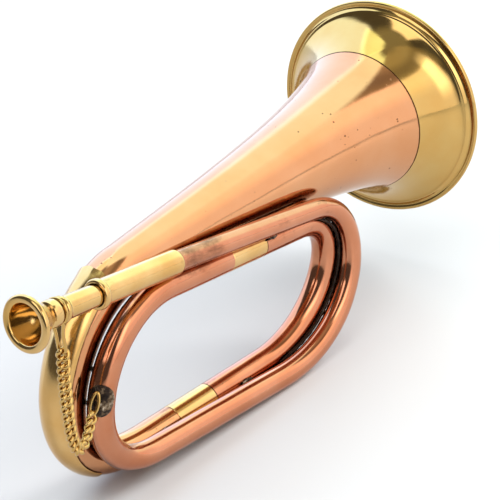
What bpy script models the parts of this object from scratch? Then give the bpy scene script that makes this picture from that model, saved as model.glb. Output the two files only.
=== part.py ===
"""A double-wound duty bugle of copper and brass, as an assembly of its real pieces.

The instrument is laid out in its own frame: X runs along the mouthpipe from the mouthpiece's rim
(x = 0) to the bell, Z is up across the coil, and -Y is the side that the mouthpipe is on. The empty
"instrument" then tips that frame until the coil stands on its own two bows, with the floor at z = 0.
"""

import math

import bmesh
import bpy
from mathutils import Euler, Vector

MM = 0.001

# How the instrument stands: the tip about Y that puts both ends of the coil on the floor,
# and where the mouthpiece's rim is then, so that the whole object is centred over the origin.
STAND_TIP = math.radians(10.8)
STAND_AT = Vector((-166.025, -35.605, 130.34)) * MM

# Sheet, clearances and facets.
WALL = 0.6 * MM
GAP = 0.3 * MM
TUBE_SIDES = 14
BELL_SIDES = 24
RIM_SIDES = 32
BOW_STEPS = 12

# Straight tubes: where each one starts and ends, in millimetres.
PIPE_START = Vector((68.0, 0.0, 0.0)) * MM
PIPE_SET = Vector((100.0, 0.0, 0.0)) * MM
PIPE_END = Vector((214.3, -0.6, -2.5)) * MM
LOWER_ONE_FAR = Vector((192.6, -1.3, -89.6)) * MM
LOWER_ONE_NEAR = Vector((102.2, 7.1, -99.7)) * MM
UPPER_TWO_NEAR = Vector((101.6, 3.6, -12.7)) * MM
UPPER_TWO_FAR = Vector((212.2, 7.1, -13.0)) * MM
LOWER_TWO_FAR = Vector((196.0, 13.7, -86.9)) * MM
LOWER_TWO_NEAR = Vector((110.3, 22.3, -102.9)) * MM
THROAT = Vector((90.2, 22.5, -6.0)) * MM
BELL_MOUTH = Vector((328.8, 35.6, 21.4)) * MM

# How far each bow reaches past the two tubes that it joins.
FAR_BOW_ONE_REACH = (51.8 * MM, 67.7 * MM)
NEAR_BOW_REACH = (59.8 * MM, 55.2 * MM)
FAR_BOW_TWO_REACH = (47.7 * MM, 50.8 * MM)
BELL_BOW_REACH = (81.8 * MM, 48.1 * MM)

# The conical bore: outer radius of the tube at the end of each stretch.
R_PIPE_START = 5.25 * MM
R_PIPE = 5.45 * MM
R_FAR_BOW_ONE_MIDDLE = 6.05 * MM
R_FAR_BOW_ONE = 6.25 * MM
R_LOWER_ONE = 6.6 * MM
R_NEAR_BOW = 6.65 * MM
R_UPPER_TWO = 6.8 * MM
R_FAR_BOW_TWO_MIDDLE = 7.45 * MM
R_FAR_BOW_TWO = 7.6 * MM
R_LOWER_TWO = 8.25 * MM
R_BELL_BOW_MIDDLE = 10.8 * MM
R_THROAT = 12.75 * MM

# The bell's outer radius is the throat's, plus a steady cone, plus a term that opens the flare.
BELL_CONE = 0.039
FLARE_POWER = 0.4
FLARE_BEYOND_MOUTH = 13.0 * MM
RIM_RADIUS = 62.4 * MM
BEAD_RADIUS = 1.5 * MM
FLARE_LENGTH = 25.1 * MM

# Ferrules: the exposed stretch of each one, as a share of its straight tube.
UPPER_FERRULE = (0.417, 0.673)
LOWER_FERRULE = (0.474, 0.782)
SPIGOT = 5.0 * MM

# Receiver, mouthpiece and guard.
RECEIVER_FROM = 46.0 * MM
RECEIVER_TO = 103.0 * MM
RECEIVER_RADIUS = 6.3 * MM
GUARD_THICKNESS = 0.6 * MM
GUARD_SHARES = (0.18, 0.895)
GUARD_HALF_ANGLE = math.radians(57)
GUARD_LOW_HALF_ANGLE = math.radians(48)

# Mouthpiece ring and curb chain.
RING_PLACE = 20.9 * MM
RING_WIRE = 0.75 * MM
RING_NECK = 5.9 * MM
RING_DROP = 21.0 * MM
RING_EYE = 2.2 * MM
RING_OPEN_ANGLE = math.radians(38)
LINK_WIRE = 0.55 * MM
LINK_HALF_WIDTH = 2.35 * MM
LINK_COUNT = 20
LINK_STEPS = 10
LINK_TWIST = math.radians(-50)
CHAIN_HANG = (47.47 * MM, 26.91 * MM)
CHAIN_BULGE = 6.88 * MM
CHAIN_DRIFT = math.radians(-3.43)
CHAIN_TURN = 17.663 * MM
CHAIN_FACE = Vector((-0.72, -0.62, 0.30))

# The solder patch on the near bow, where the chain is fastened.
PATCH_AT = 0.518
PATCH_THICKNESS = 0.8 * MM
PATCH_HALF_HEIGHT = 8.0 * MM
PATCH_TURN = math.radians(-36)
PATCH_HALF_ANGLE = math.radians(62)
NEAR_BOW_LENGTH = 146.0 * MM
END_LOOP_TURN = math.radians(-21.57)
END_LOOP_TILT = math.radians(2.94)
END_LOOP_HALF_LENGTH = 4.8 * MM
END_LOOP_HALF_WIDTH = 2.2 * MM
END_LOOP_RISE = -0.113 * MM
END_LOOP_LIFT = 2.324 * MM

# Stays, and solder seams between tubes that lie side by side.
STAY_PLACE = 89.0 * MM
STAY_RADIUS = 2.2 * MM
BRIDGE_RADIUS = 1.4 * MM
BRIDGE_SHARES = (("bow_stay_upper", 0.60), ("bow_stay_lower", 0.48))
SEAM_RADIUS = 1.0 * MM
SEAM_HALF_LENGTH = 4.0 * MM
BOW_SEAM_SHARES = (0.06, 0.97)
BOW_SEAM_STEPS = 16
BOW_SEAM_SIDE = Vector((-0.75, -0.55, 0.35))
UPPER_SEAM_SHARES = (0.70, 0.71)
LOWER_SEAM_SHARES = (("lower_seam_far", 0.2), ("lower_seam_near", 0.85))

COPPER = (0.83, 0.42, 0.27)
BRASS = (0.84, 0.62, 0.27)
SOLDER = (0.16, 0.13, 0.11)
Y_AXIS = Vector((0.0, 1.0, 0.0))


# ------------------------------------------------------------------ scene, materials, objects

def clear_scene():
    """Remove every object that is already there."""
    for item in list(bpy.data.objects):
        bpy.data.objects.remove(item, do_unlink=True)


def metal(name, colour, roughness):
    """A plain metallic material."""
    material = bpy.data.materials.new(name)
    material.use_nodes = True
    shader = material.node_tree.nodes["Principled BSDF"]
    shader.inputs["Base Color"].default_value = (*colour, 1.0)
    shader.inputs["Metallic"].default_value = 1.0
    shader.inputs["Roughness"].default_value = roughness
    return material


def add_piece(name, mesh_builder, material, frame, place=Vector((0.0, 0.0, 0.0))):
    """Turn a bmesh into a named object whose origin is at `place` in the instrument's frame."""
    bmesh.ops.recalc_face_normals(mesh_builder, faces=mesh_builder.faces)
    bmesh.ops.translate(mesh_builder, verts=mesh_builder.verts, vec=-place)
    mesh = bpy.data.meshes.new(name)
    mesh_builder.to_mesh(mesh)
    mesh_builder.free()
    mesh.shade_smooth()
    mesh.set_sharp_from_angle(angle=math.radians(38))
    mesh.materials.append(material)
    piece = bpy.data.objects.new(name, mesh)
    piece.parent = frame
    piece.location = place
    bpy.context.collection.objects.link(piece)
    return piece


# ------------------------------------------------------------------ rings, tubes and shells

def side_of(tangent):
    """The direction across the coil (+Y side) that is square to a tube."""
    return (Y_AXIS - tangent * Y_AXIS.dot(tangent)).normalized()


def ring_point(centre, tangent, radius, angle):
    """A point round a tube. Angle 0 is the outside of a bow, and +90 degrees is the +Y side."""
    side = side_of(tangent)
    outward = tangent.cross(side)
    return centre + radius * (math.cos(angle) * outward + math.sin(angle) * side)


def tangents(centres):
    """Direction of travel at each centre."""
    last = len(centres) - 1
    return [(centres[min(i + 1, last)] - centres[max(i - 1, 0)]).normalized() for i in range(last + 1)]


def loop_round(builder, centre, tangent, radius, sides):
    """One ring of vertices."""
    angles = (2 * math.pi * k / sides for k in range(sides))
    return [builder.verts.new(ring_point(centre, tangent, radius, angle)) for angle in angles]


def skin(builder, rings, closed_round=True):
    """Faces between neighbouring rows of vertices."""
    for first, second in zip(rings, rings[1:]):
        count = len(first)
        for k in range(count if closed_round else count - 1):
            n = (k + 1) % count
            builder.faces.new((first[k], first[n], second[n], second[k]))


def hollow_tube(centres, outer, inner, sides, directions=None):
    """A tube with open ends: outer and inner skins joined by a flat ring at each end."""
    builder = bmesh.new()
    directions = directions or tangents(centres)
    outside = [loop_round(builder, c, t, r, sides) for c, t, r in zip(centres, directions, outer)]
    inside = [loop_round(builder, c, t, r, sides) for c, t, r in zip(centres, directions, inner)]
    skin(builder, outside + inside[::-1] + outside[:1])
    return builder


def turned(profile, sides, origin=Vector((0.0, 0.0, 0.0)), axis=Vector((1.0, 0.0, 0.0))):
    """A closed (along, radius) outline turned about an axis."""
    centres = [origin + axis * along for along, _ in profile]
    builder = bmesh.new()
    rows = [loop_round(builder, c, axis, r, sides) for c, (_, r) in zip(centres, profile)]
    skin(builder, rows + rows[:1])
    return builder


def swept_wire(points, radius, sides, across):
    """A closed loop of round wire. `across` is a direction square to the loop's flat face."""
    builder = bmesh.new()
    count = len(points)
    rows = []
    for i, point in enumerate(points):
        tangent = (points[(i + 1) % count] - points[i - 1]).normalized()
        first = (across - tangent * across.dot(tangent)).normalized()
        second = tangent.cross(first)
        turn = [2 * math.pi * k / sides for k in range(sides)]
        rows.append([builder.verts.new(point + radius * (math.cos(a) * first + math.sin(a) * second))
                     for a in turn])
    skin(builder, rows + rows[:1])
    return builder


def curved_plate(centres, ways, radii, half_angles, middle_angle, thickness, columns):
    """A plate bent round a tube, `GAP` above it, between plus and minus each half angle."""
    builder = bmesh.new()
    rows = []
    for centre, tangent, radius, half in zip(centres, ways, radii, half_angles):
        angles = [middle_angle + half * (2 * k / columns - 1) for k in range(columns + 1)]
        outer = [ring_point(centre, tangent, radius + GAP + thickness, a) for a in angles]
        inner = [ring_point(centre, tangent, radius + GAP, a) for a in reversed(angles)]
        rows.append([builder.verts.new(p) for p in outer + inner])
    skin(builder, rows)
    builder.faces.new(rows[0])
    builder.faces.new(rows[-1])
    bmesh.ops.triangulate(builder, faces=[f for f in builder.faces if len(f.verts) > 4])
    return builder


# ------------------------------------------------------------------ the instrument's centrelines

def mix(a, b, share):
    """Part way from a to b."""
    return a + (b - a) * share


def direction(a, b):
    """Unit vector from a to b."""
    return (b - a).normalized()


def bow_point(bend, t):
    """A point on a bend, from 0 where it leaves one tube to 1 where it joins the next."""
    start, start_way, end, end_way, reach = bend
    s = 1.0 - t
    control_a = start + start_way * reach[0]
    control_b = end - end_way * reach[1]
    return start * s**3 + control_a * 3 * s * s * t + control_b * 3 * s * t * t + end * t**3


def bow_way(bend, t):
    """Direction of travel on a bend."""
    return direction(bow_point(bend, t - 0.01), bow_point(bend, t + 0.01))


def bow_centres(bend):
    """Evenly spaced stations on a bend, both ends included."""
    return [bow_point(bend, i / BOW_STEPS) for i in range(BOW_STEPS + 1)]


def opening_radius(r_start, r_middle, r_end, t):
    """Radius on a bend whose bore opens from one end to the middle and on to the other end."""
    if t < 0.5:
        return mix(r_start, r_middle, 2 * t)
    return mix(r_middle, r_end, 2 * t - 1)


def bow_radii(r_start, r_middle, r_end):
    """Radii at the stations of a bend."""
    return [opening_radius(r_start, r_middle, r_end, i / BOW_STEPS) for i in range(BOW_STEPS + 1)]


PIPE_WAY = direction(PIPE_SET, PIPE_END)
LOWER_ONE_WAY = direction(LOWER_ONE_FAR, LOWER_ONE_NEAR)
UPPER_TWO_WAY = direction(UPPER_TWO_NEAR, UPPER_TWO_FAR)
LOWER_TWO_WAY = direction(LOWER_TWO_FAR, LOWER_TWO_NEAR)
BELL_WAY = direction(THROAT, BELL_MOUTH)
BELL_LENGTH = (BELL_MOUTH - THROAT).length
FAR_BOW_ONE = (PIPE_END, PIPE_WAY, LOWER_ONE_FAR, LOWER_ONE_WAY, FAR_BOW_ONE_REACH)
NEAR_BOW = (LOWER_ONE_NEAR, LOWER_ONE_WAY, UPPER_TWO_NEAR, UPPER_TWO_WAY, NEAR_BOW_REACH)
FAR_BOW_TWO = (UPPER_TWO_FAR, UPPER_TWO_WAY, LOWER_TWO_FAR, LOWER_TWO_WAY, FAR_BOW_TWO_REACH)
BELL_BOW = (LOWER_TWO_NEAR, LOWER_TWO_WAY, THROAT, BELL_WAY, BELL_BOW_REACH)


def bell_bow_radius(t):
    """Outer radius on the bell bow; its bore opens faster towards the throat."""
    return opening_radius(R_LOWER_TWO, R_BELL_BOW_MIDDLE, R_THROAT, t)


def bell_radius(along):
    """Outer radius of the bell at a distance from the throat."""
    def opening(distance):
        return (BELL_LENGTH + FLARE_BEYOND_MOUTH - distance) ** -FLARE_POWER
    edge = RIM_RADIUS - BEAD_RADIUS
    grown = edge - R_THROAT - BELL_CONE * BELL_LENGTH
    flare = grown * (opening(along) - opening(0.0)) / (opening(BELL_LENGTH) - opening(0.0))
    return R_THROAT + BELL_CONE * along + flare


def ferrule_point(name, share):
    """A point and tube radius at a share of the way along a tube that has a ferrule."""
    if name == "upper":
        return mix(UPPER_TWO_NEAR, UPPER_TWO_FAR, share), mix(R_NEAR_BOW, R_UPPER_TWO, share)
    return mix(LOWER_TWO_FAR, LOWER_TWO_NEAR, share), mix(R_FAR_BOW_TWO, R_LOWER_TWO, share)


# ------------------------------------------------------------------ tubes

def add_branch(name, centres, radii, material, frame, sides=TUBE_SIDES):
    """A length of the conical tube, thin-walled and open at both ends."""
    inner = [r - WALL for r in radii]
    return add_piece(name, hollow_tube(centres, radii, inner, sides), material, frame)


def add_mouthpipe_branch(copper, frame):
    """Mouthpipe, far bow, first lower tube, near bow and the start of the second upper tube."""
    end, end_radius = ferrule_point("upper", UPPER_FERRULE[0])
    centres = [PIPE_START, PIPE_SET] + bow_centres(FAR_BOW_ONE) + bow_centres(NEAR_BOW)
    centres.append(end - UPPER_TWO_WAY * GAP / 2)
    radii = [R_PIPE_START, R_PIPE_START] + bow_radii(R_PIPE, R_FAR_BOW_ONE_MIDDLE, R_FAR_BOW_ONE)
    radii += bow_radii(R_LOWER_ONE, (R_LOWER_ONE + R_NEAR_BOW) / 2, R_NEAR_BOW) + [end_radius]
    add_branch("mouthpipe_branch", centres, radii, copper, frame)


def add_middle_branch(copper, frame):
    """The rest of the second upper tube, the inner far bow and half of the second lower tube."""
    start, start_radius = ferrule_point("upper", UPPER_FERRULE[1])
    end, end_radius = ferrule_point("lower", LOWER_FERRULE[0])
    centres = [start + UPPER_TWO_WAY * GAP / 2] + bow_centres(FAR_BOW_TWO) + [end - LOWER_TWO_WAY * GAP / 2]
    bend_radii = bow_radii(R_UPPER_TWO, R_FAR_BOW_TWO_MIDDLE, R_FAR_BOW_TWO)
    radii = [start_radius] + bend_radii + [end_radius]
    add_branch("middle_branch", centres, radii, copper, frame)


def add_ferrule(name, which, shares, way, brass, frame):
    """A brass joint: the stretch that shows, and a thinner spigot into each copper end."""
    first, first_radius = ferrule_point(which, shares[0])
    second, second_radius = ferrule_point(which, shares[1])
    first = first + way * GAP / 2
    second = second - way * GAP / 2
    shy = WALL + GAP
    centres = [first - way * SPIGOT, first, first, second, second, second + way * SPIGOT]
    radii = [first_radius - shy, first_radius - shy, first_radius, second_radius,
             second_radius - shy, second_radius - shy]
    inner = [r - shy - WALL for r in [first_radius] * 3 + [second_radius] * 3]
    add_piece(name, hollow_tube(centres, radii, inner, TUBE_SIDES, [way] * 6), brass, frame)


def add_bell_branch(copper, frame):
    """Second lower tube after its ferrule, the bell bow and the copper body of the bell."""
    start, start_radius = ferrule_point("lower", LOWER_FERRULE[1])
    bend = bow_centres(BELL_BOW)
    bend_radii = [bell_bow_radius(i / BOW_STEPS) for i in range(BOW_STEPS + 1)]
    body_length = BELL_LENGTH - FLARE_LENGTH - GAP / 2
    steps = 8
    alongs = [body_length * (1 - (1 - i / steps) ** 1.35) for i in range(1, steps + 1)]
    centres = [start + LOWER_TWO_WAY * GAP / 2] + bend + [THROAT + BELL_WAY * a for a in alongs]
    radii = [start_radius] + bend_radii + [bell_radius(a) for a in alongs]
    ways = tangents(centres)
    ways[len(bend):] = [BELL_WAY] * (len(centres) - len(bend))
    inner = [r - WALL for r in radii]
    add_piece("bell_branch", hollow_tube(centres, radii, inner, BELL_SIDES, ways), copper, frame)


# ------------------------------------------------------------------ bell end

def add_bell_flare(brass, frame):
    """The brass mouth of the bell, from the seam to the edge that the bead closes over."""
    steps = 7
    start = BELL_LENGTH - FLARE_LENGTH + GAP / 2
    run = BELL_LENGTH - 0.95 * MM - start
    alongs = [start + run * (1 - (1 - i / steps) ** 1.5) for i in range(steps + 1)]
    outer = [(a, bell_radius(a)) for a in alongs]
    inner = [(a + WALL * 0.8, bell_radius(a) - WALL) for a in reversed(alongs)]
    inner[-1] = (start, inner[-1][1])
    add_piece("bell_flare", turned(outer + inner, RIM_SIDES, THROAT, BELL_WAY), brass, frame)


def add_rim_bead(brass, frame):
    """The rolled rim: rounded outside, with a narrow flat face at the very mouth of the bell."""
    outside = [(-1.5, -1.1), (-0.6, 0.0), (0.8, 0.0), (1.6, -0.9)]
    inside = [(1.6, -2.8), (0.9, -3.4), (-0.2, -3.05), (-1.1, -2.4)]
    profile = [(BELL_LENGTH + along * MM, RIM_RADIUS + out * MM) for along, out in outside + inside]
    add_piece("rim_bead", turned(profile, RIM_SIDES, THROAT, BELL_WAY), brass, frame)


def add_bow_guard(brass, frame):
    """The half-shell that protects the outside of the bell bow, narrower at its lower end."""
    first, last = GUARD_SHARES
    shares = [first] + [i / BOW_STEPS for i in range(BOW_STEPS) if first < i / BOW_STEPS < last] + [last]
    halves = [mix(GUARD_LOW_HALF_ANGLE, GUARD_HALF_ANGLE, min(1.0, 4 * (t - first))) for t in shares]
    plate = curved_plate([bow_point(BELL_BOW, t) for t in shares], [bow_way(BELL_BOW, t) for t in shares],
                         [bell_bow_radius(t) for t in shares], halves, 0.0, GUARD_THICKNESS, 8)
    add_piece("bow_guard", plate, brass, frame)


# ------------------------------------------------------------------ mouthpiece end

def add_receiver(brass, frame):
    """The sleeve that takes the mouthpiece, with a beaded mouth and a rounded far end."""
    bore = RECEIVER_RADIUS - WALL
    bead = RECEIVER_RADIUS + 1.0 * MM
    profile = [(RECEIVER_FROM, bore),
               (RECEIVER_FROM, bead - 0.6 * MM),
               (RECEIVER_FROM + 0.7 * MM, bead),
               (RECEIVER_FROM + 2.9 * MM, bead),
               (RECEIVER_FROM + 3.8 * MM, bead - 0.7 * MM),
               (RECEIVER_FROM + 4.4 * MM, RECEIVER_RADIUS),
               (RECEIVER_TO - 1.5 * MM, RECEIVER_RADIUS),
               (RECEIVER_TO - 0.4 * MM, RECEIVER_RADIUS - 0.15 * MM),
               (RECEIVER_TO, RECEIVER_RADIUS - 0.4 * MM),
               (RECEIVER_TO, bore)]
    add_piece("receiver", turned(profile, 18), brass, frame)


def mouthpiece_profile():
    """Outline of the mouthpiece: rim, bowl, two beads, shank, then back up the bore to the cup."""
    rim = [(0.9, 9.6), (0.2, 10.5), (0.0, 11.6), (0.4, 12.9), (1.5, 13.5), (2.6, 13.2), (3.6, 12.0)]
    bowl = [(6.5, 9.8), (9.8, 7.7), (12.8, 5.9), (13.9, 5.4)]
    first_bead = [(14.4, 6.2), (16.0, 6.55), (18.4, 6.5), (19.3, 6.0)]
    groove = [(19.6, 4.9), (22.2, 4.9)]
    second_bead = [(22.4, 5.9), (23.2, 6.4), (24.3, 6.2), (24.9, 5.6)]
    shank = [(46.0, 5.2), (66.0, 4.7)]
    bore = [(66.0, 3.7), (24.0, 2.0), (16.5, 2.0), (13.0, 3.6), (9.0, 6.6), (4.5, 8.7)]
    outline = rim + bowl + first_bead + groove + second_bead + shank + bore
    return [(along * MM, radius * MM) for along, radius in outline]


def add_mouthpiece(brass, frame):
    """The mouthpiece, turned about the mouthpipe's axis, which it twists on in the receiver."""
    add_piece("mouthpiece", turned(mouthpiece_profile(), 22), brass, frame)


def smooth(t):
    """Ease from 0 to 1."""
    return t * t * (3 - 2 * t)


def ring_points():
    """The wire ring: round the mouthpiece's groove, then down in two close legs to an eye."""
    points = []
    for i in range(15):
        angle = RING_OPEN_ANGLE + (2 * math.pi - 2 * RING_OPEN_ANGLE) * i / 14
        points.append((RING_NECK * math.sin(angle), -RING_NECK * math.cos(angle)))
    shoulder = -RING_NECK * math.cos(RING_OPEN_ANGLE)
    legs = []
    for i in range(1, 6):
        t = i / 6
        spare = RING_NECK * math.sin(RING_OPEN_ANGLE) - RING_EYE
        width = RING_EYE + spare * (1 - smooth(min(1.0, 2 * t)))
        legs.append((width, shoulder - (RING_DROP - RING_EYE + shoulder) * t))
    eye = []
    for i in range(5):
        angle = math.pi * i / 4
        eye.append((-RING_EYE * math.cos(angle), -(RING_DROP - RING_EYE) - RING_EYE * math.sin(angle)))
    points += [(-w, z) for w, z in legs] + eye + legs[::-1]
    down = world_down()
    placed = []
    for across, z in points:
        lean = max(0.0, shoulder - z) * RING_DROP / (RING_DROP + shoulder) * down.x
        placed.append(Vector((RING_PLACE + lean, across, z)))
    return placed


def world_down():
    """The way a plumb line hangs, in the instrument's tipped frame."""
    return Vector((math.sin(STAND_TIP), 0.0, -math.cos(STAND_TIP)))


def ring_bottom():
    """Lowest point of the ring's wire, where the chain hangs."""
    return min(ring_points(), key=lambda p: p.z)


def add_ring(brass, frame):
    """The ring that ties the chain to the mouthpiece."""
    piece = swept_wire(ring_points(), RING_WIRE, 6, Vector((1.0, 0.0, 0.0)))
    add_piece("mouthpiece_ring", piece, brass, frame, Vector((RING_PLACE, 0.0, 0.0)))


def chain_path():
    """Closely spaced points down the slack chain, from the ring to the loop on the near bow."""
    start = ring_bottom()
    end = end_loop_bar()
    down = world_down()
    across = end - start
    across = (across - down * across.dot(down)).normalized()
    slack_a = start + down * CHAIN_HANG[0] - across * CHAIN_BULGE
    slack_b = end + down * CHAIN_HANG[1] - across * CHAIN_TURN
    path = []
    for i in range(401):
        t = i / 400
        s = 1.0 - t
        path.append(start * s**3 + slack_a * 3 * s * s * t + slack_b * 3 * s * t * t + end * t**3)
    path[0] = start + direction(path[1], start) * (RING_WIRE + LINK_WIRE + GAP) / 2
    path[-1] = end + direction(path[-2], end) * (2 * LINK_WIRE + GAP) / 2
    return path


def evenly_on(path, count):
    """Points that divide a path into equal lengths, both ends included."""
    steps = [(b - a).length for a, b in zip(path, path[1:])]
    wanted = sum(steps) / count
    points = [path[0]]
    covered = 0.0
    for first, second, step in zip(path, path[1:], steps):
        while len(points) < count and covered + step >= wanted * len(points):
            points.append(first + (second - first) * ((wanted * len(points) - covered) / step))
        covered += step
    return points + [path[-1]]


def link_ends():
    """Where the wire at the two ends of each link is centred; neighbours hook over each other."""
    hooks = evenly_on(chain_path(), LINK_COUNT)
    last = LINK_COUNT
    ways = [direction(hooks[max(i - 1, 0)], hooks[min(i + 1, last)]) for i in range(last + 1)]
    reach = [(RING_WIRE + LINK_WIRE + GAP) / 2] + [(2 * LINK_WIRE + GAP) / 2] * last
    upper = [hook - way * r for hook, way, r in zip(hooks, ways, reach)]
    lower = [hook + way * r for hook, way, r in zip(hooks, ways, reach)]
    return list(zip(upper[:-1], lower[1:]))


def link_points(top, bottom, flat):
    """An oval of wire whose two ends are turned against each other, as in curb chain."""
    centre = (top + bottom) / 2
    half = (bottom - top) / 2
    width = half.normalized().cross(flat)
    points = []
    for i in range(LINK_STEPS):
        angle = 2 * math.pi * (i + 0.5) / LINK_STEPS
        turn = LINK_TWIST * math.cos(angle)
        sideways = math.cos(turn) * width + math.sin(turn) * flat
        points.append(centre + half * math.cos(angle) + sideways * LINK_HALF_WIDTH * math.sin(angle))
    return points


def add_chain(brass, frame):
    """Curb links from the ring down to the lowest point and up to the loop on the near bow."""
    flat = CHAIN_FACE
    for i, (top, bottom) in enumerate(link_ends()):
        way = direction(top, bottom)
        flat = (flat - way * flat.dot(way)).normalized()
        flat = math.cos(CHAIN_DRIFT) * flat + math.sin(CHAIN_DRIFT) * way.cross(flat)
        builder = swept_wire(link_points(top, bottom, flat), LINK_WIRE, 5, flat)
        add_piece("chain_link_%02d" % (i + 1), builder, brass, frame, (top + bottom) / 2)


# ------------------------------------------------------------------ what is soldered on

def on_near_bow(rise, radius, angle):
    """A point round the near bow, at a height above the middle of the patch."""
    share = PATCH_AT + rise / NEAR_BOW_LENGTH
    return ring_point(bow_point(NEAR_BOW, share), bow_way(NEAR_BOW, share), radius, angle)


def add_anchor_patch(solder, frame):
    """The oval lump of solder that holds the chain's end loop on the near bow."""
    rows = 8
    heights = [PATCH_HALF_HEIGHT * math.sin(math.pi * (i / rows - 0.5)) for i in range(rows + 1)]
    shares = [PATCH_AT + height / NEAR_BOW_LENGTH for height in heights]
    rounded = [math.sqrt(max(0.04, 1 - (height / PATCH_HALF_HEIGHT) ** 2)) for height in heights]
    plate = curved_plate([bow_point(NEAR_BOW, t) for t in shares], [bow_way(NEAR_BOW, t) for t in shares],
                         [R_NEAR_BOW] * (rows + 1), [PATCH_HALF_ANGLE * r for r in rounded], PATCH_TURN,
                         PATCH_THICKNESS, 8)
    add_piece("anchor_patch", plate, solder, frame)


def end_loop_points():
    """The chain's end loop: an oval on the patch, tilted, whose lower end stands off the solder."""
    base = R_NEAR_BOW + PATCH_THICKNESS + 2 * GAP + LINK_WIRE
    points = []
    for i in range(12):
        turn = 2 * math.pi * i / 12
        along = END_LOOP_HALF_LENGTH * math.cos(turn)
        across = END_LOOP_HALF_WIDTH * math.sin(turn)
        rise = along * math.cos(END_LOOP_TILT) - across * math.sin(END_LOOP_TILT)
        out = along * math.sin(END_LOOP_TILT) + across * math.cos(END_LOOP_TILT)
        radius = base + END_LOOP_LIFT * (1 - math.cos(turn)) / 2
        points.append(on_near_bow(END_LOOP_RISE + rise, radius, END_LOOP_TURN - out / base))
    return points


def end_loop_bar():
    """The lowest point of the end loop, which the last link hooks over."""
    return min(end_loop_points(), key=lambda p: p.z)


def add_end_loop(brass, frame):
    """The wire loop that the solder holds."""
    outward = on_near_bow(0.0, 1.0, END_LOOP_TURN) - on_near_bow(0.0, 0.0, END_LOOP_TURN)
    add_piece("chain_end_loop", swept_wire(end_loop_points(), LINK_WIRE, 6, outward), brass, frame)


def add_stay(name, centre_a, radius_a, centre_b, radius_b, thickness, material, frame):
    """A short round stay between two tubes, waisted in the middle, with a small gap at each end."""
    way = direction(centre_a, centre_b)
    start = centre_a + way * (radius_a + GAP)
    run = (centre_b - centre_a).length - radius_a - radius_b - 2 * GAP
    builder = bmesh.new()
    section = ((0.0, 1.0), (0.25, 0.8), (0.75, 0.8), (1.0, 1.0))
    rows = []
    for share, fat in section:
        rows.append(loop_round(builder, start + way * run * share, way, thickness * fat, 10))
    skin(builder, rows)
    builder.faces.new(rows[0])
    builder.faces.new(rows[-1])
    add_piece(name, builder, material, frame)


def nearest_share(bend, point):
    """How far along a bend the place nearest to a point is."""
    return min((i / 400 for i in range(401)), key=lambda t: (bow_point(bend, t) - point).length)


def groove_point(centre_a, radius_a, centre_b, radius_b, way, towards):
    """Where a bead of solder rests in the groove between two tubes, on the side that faces `towards`."""
    reach_a = radius_a + SEAM_RADIUS + GAP
    reach_b = radius_b + SEAM_RADIUS + GAP
    apart = centre_b - centre_a
    apart -= way * apart.dot(way)
    distance = apart.length
    share = (reach_a**2 - reach_b**2 + distance**2) / (2 * distance)
    rise = math.sqrt(reach_a**2 - share**2)
    across = apart.normalized()
    out = way.cross(across)
    if out.dot(towards) < 0:
        out = -out
    return centre_a + across * share + out * rise


def add_seam(name, centre_a, radius_a, centre_b, radius_b, way, towards, material, frame):
    """A bead of solder lying in the groove between two tubes that run side by side."""
    fat = SEAM_RADIUS
    middle = groove_point(centre_a, radius_a, centre_b, radius_b, way, towards)
    builder = bmesh.new()
    rows = []
    for i in range(5):
        turn = math.pi * (0.12 + 0.76 * i / 4)
        rows.append(loop_round(builder, middle - way * SEAM_HALF_LENGTH * math.cos(turn), way,
                               fat * math.sin(turn), 8))
    skin(builder, rows)
    builder.faces.new(rows[0])
    builder.faces.new(rows[-1])
    add_piece(name, builder, material, frame)


def add_bow_seam(solder, frame):
    """The long bead of solder between the two far bows, on the side that faces the mouthpiece."""
    first, last = BOW_SEAM_SHARES
    builder = bmesh.new()
    rows = []
    for i in range(BOW_SEAM_STEPS + 1):
        share = mix(first, last, i / BOW_SEAM_STEPS)
        inner = bow_point(FAR_BOW_TWO, share)
        beside = nearest_share(FAR_BOW_ONE, inner)
        outer = bow_point(FAR_BOW_ONE, beside)
        inner_radius = opening_radius(R_UPPER_TWO, R_FAR_BOW_TWO_MIDDLE, R_FAR_BOW_TWO, share)
        outer_radius = opening_radius(R_PIPE, R_FAR_BOW_ONE_MIDDLE, R_FAR_BOW_ONE, beside)
        way = bow_way(FAR_BOW_TWO, share)
        middle = groove_point(outer, outer_radius, inner, inner_radius, way, BOW_SEAM_SIDE)
        fat = SEAM_RADIUS * (0.5 if i in (0, BOW_SEAM_STEPS) else 1.0)
        rows.append(loop_round(builder, middle, way, fat, 8))
    skin(builder, rows)
    builder.faces.new(rows[0])
    builder.faces.new(rows[-1])
    add_piece("far_bow_seam", builder, solder, frame)


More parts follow.
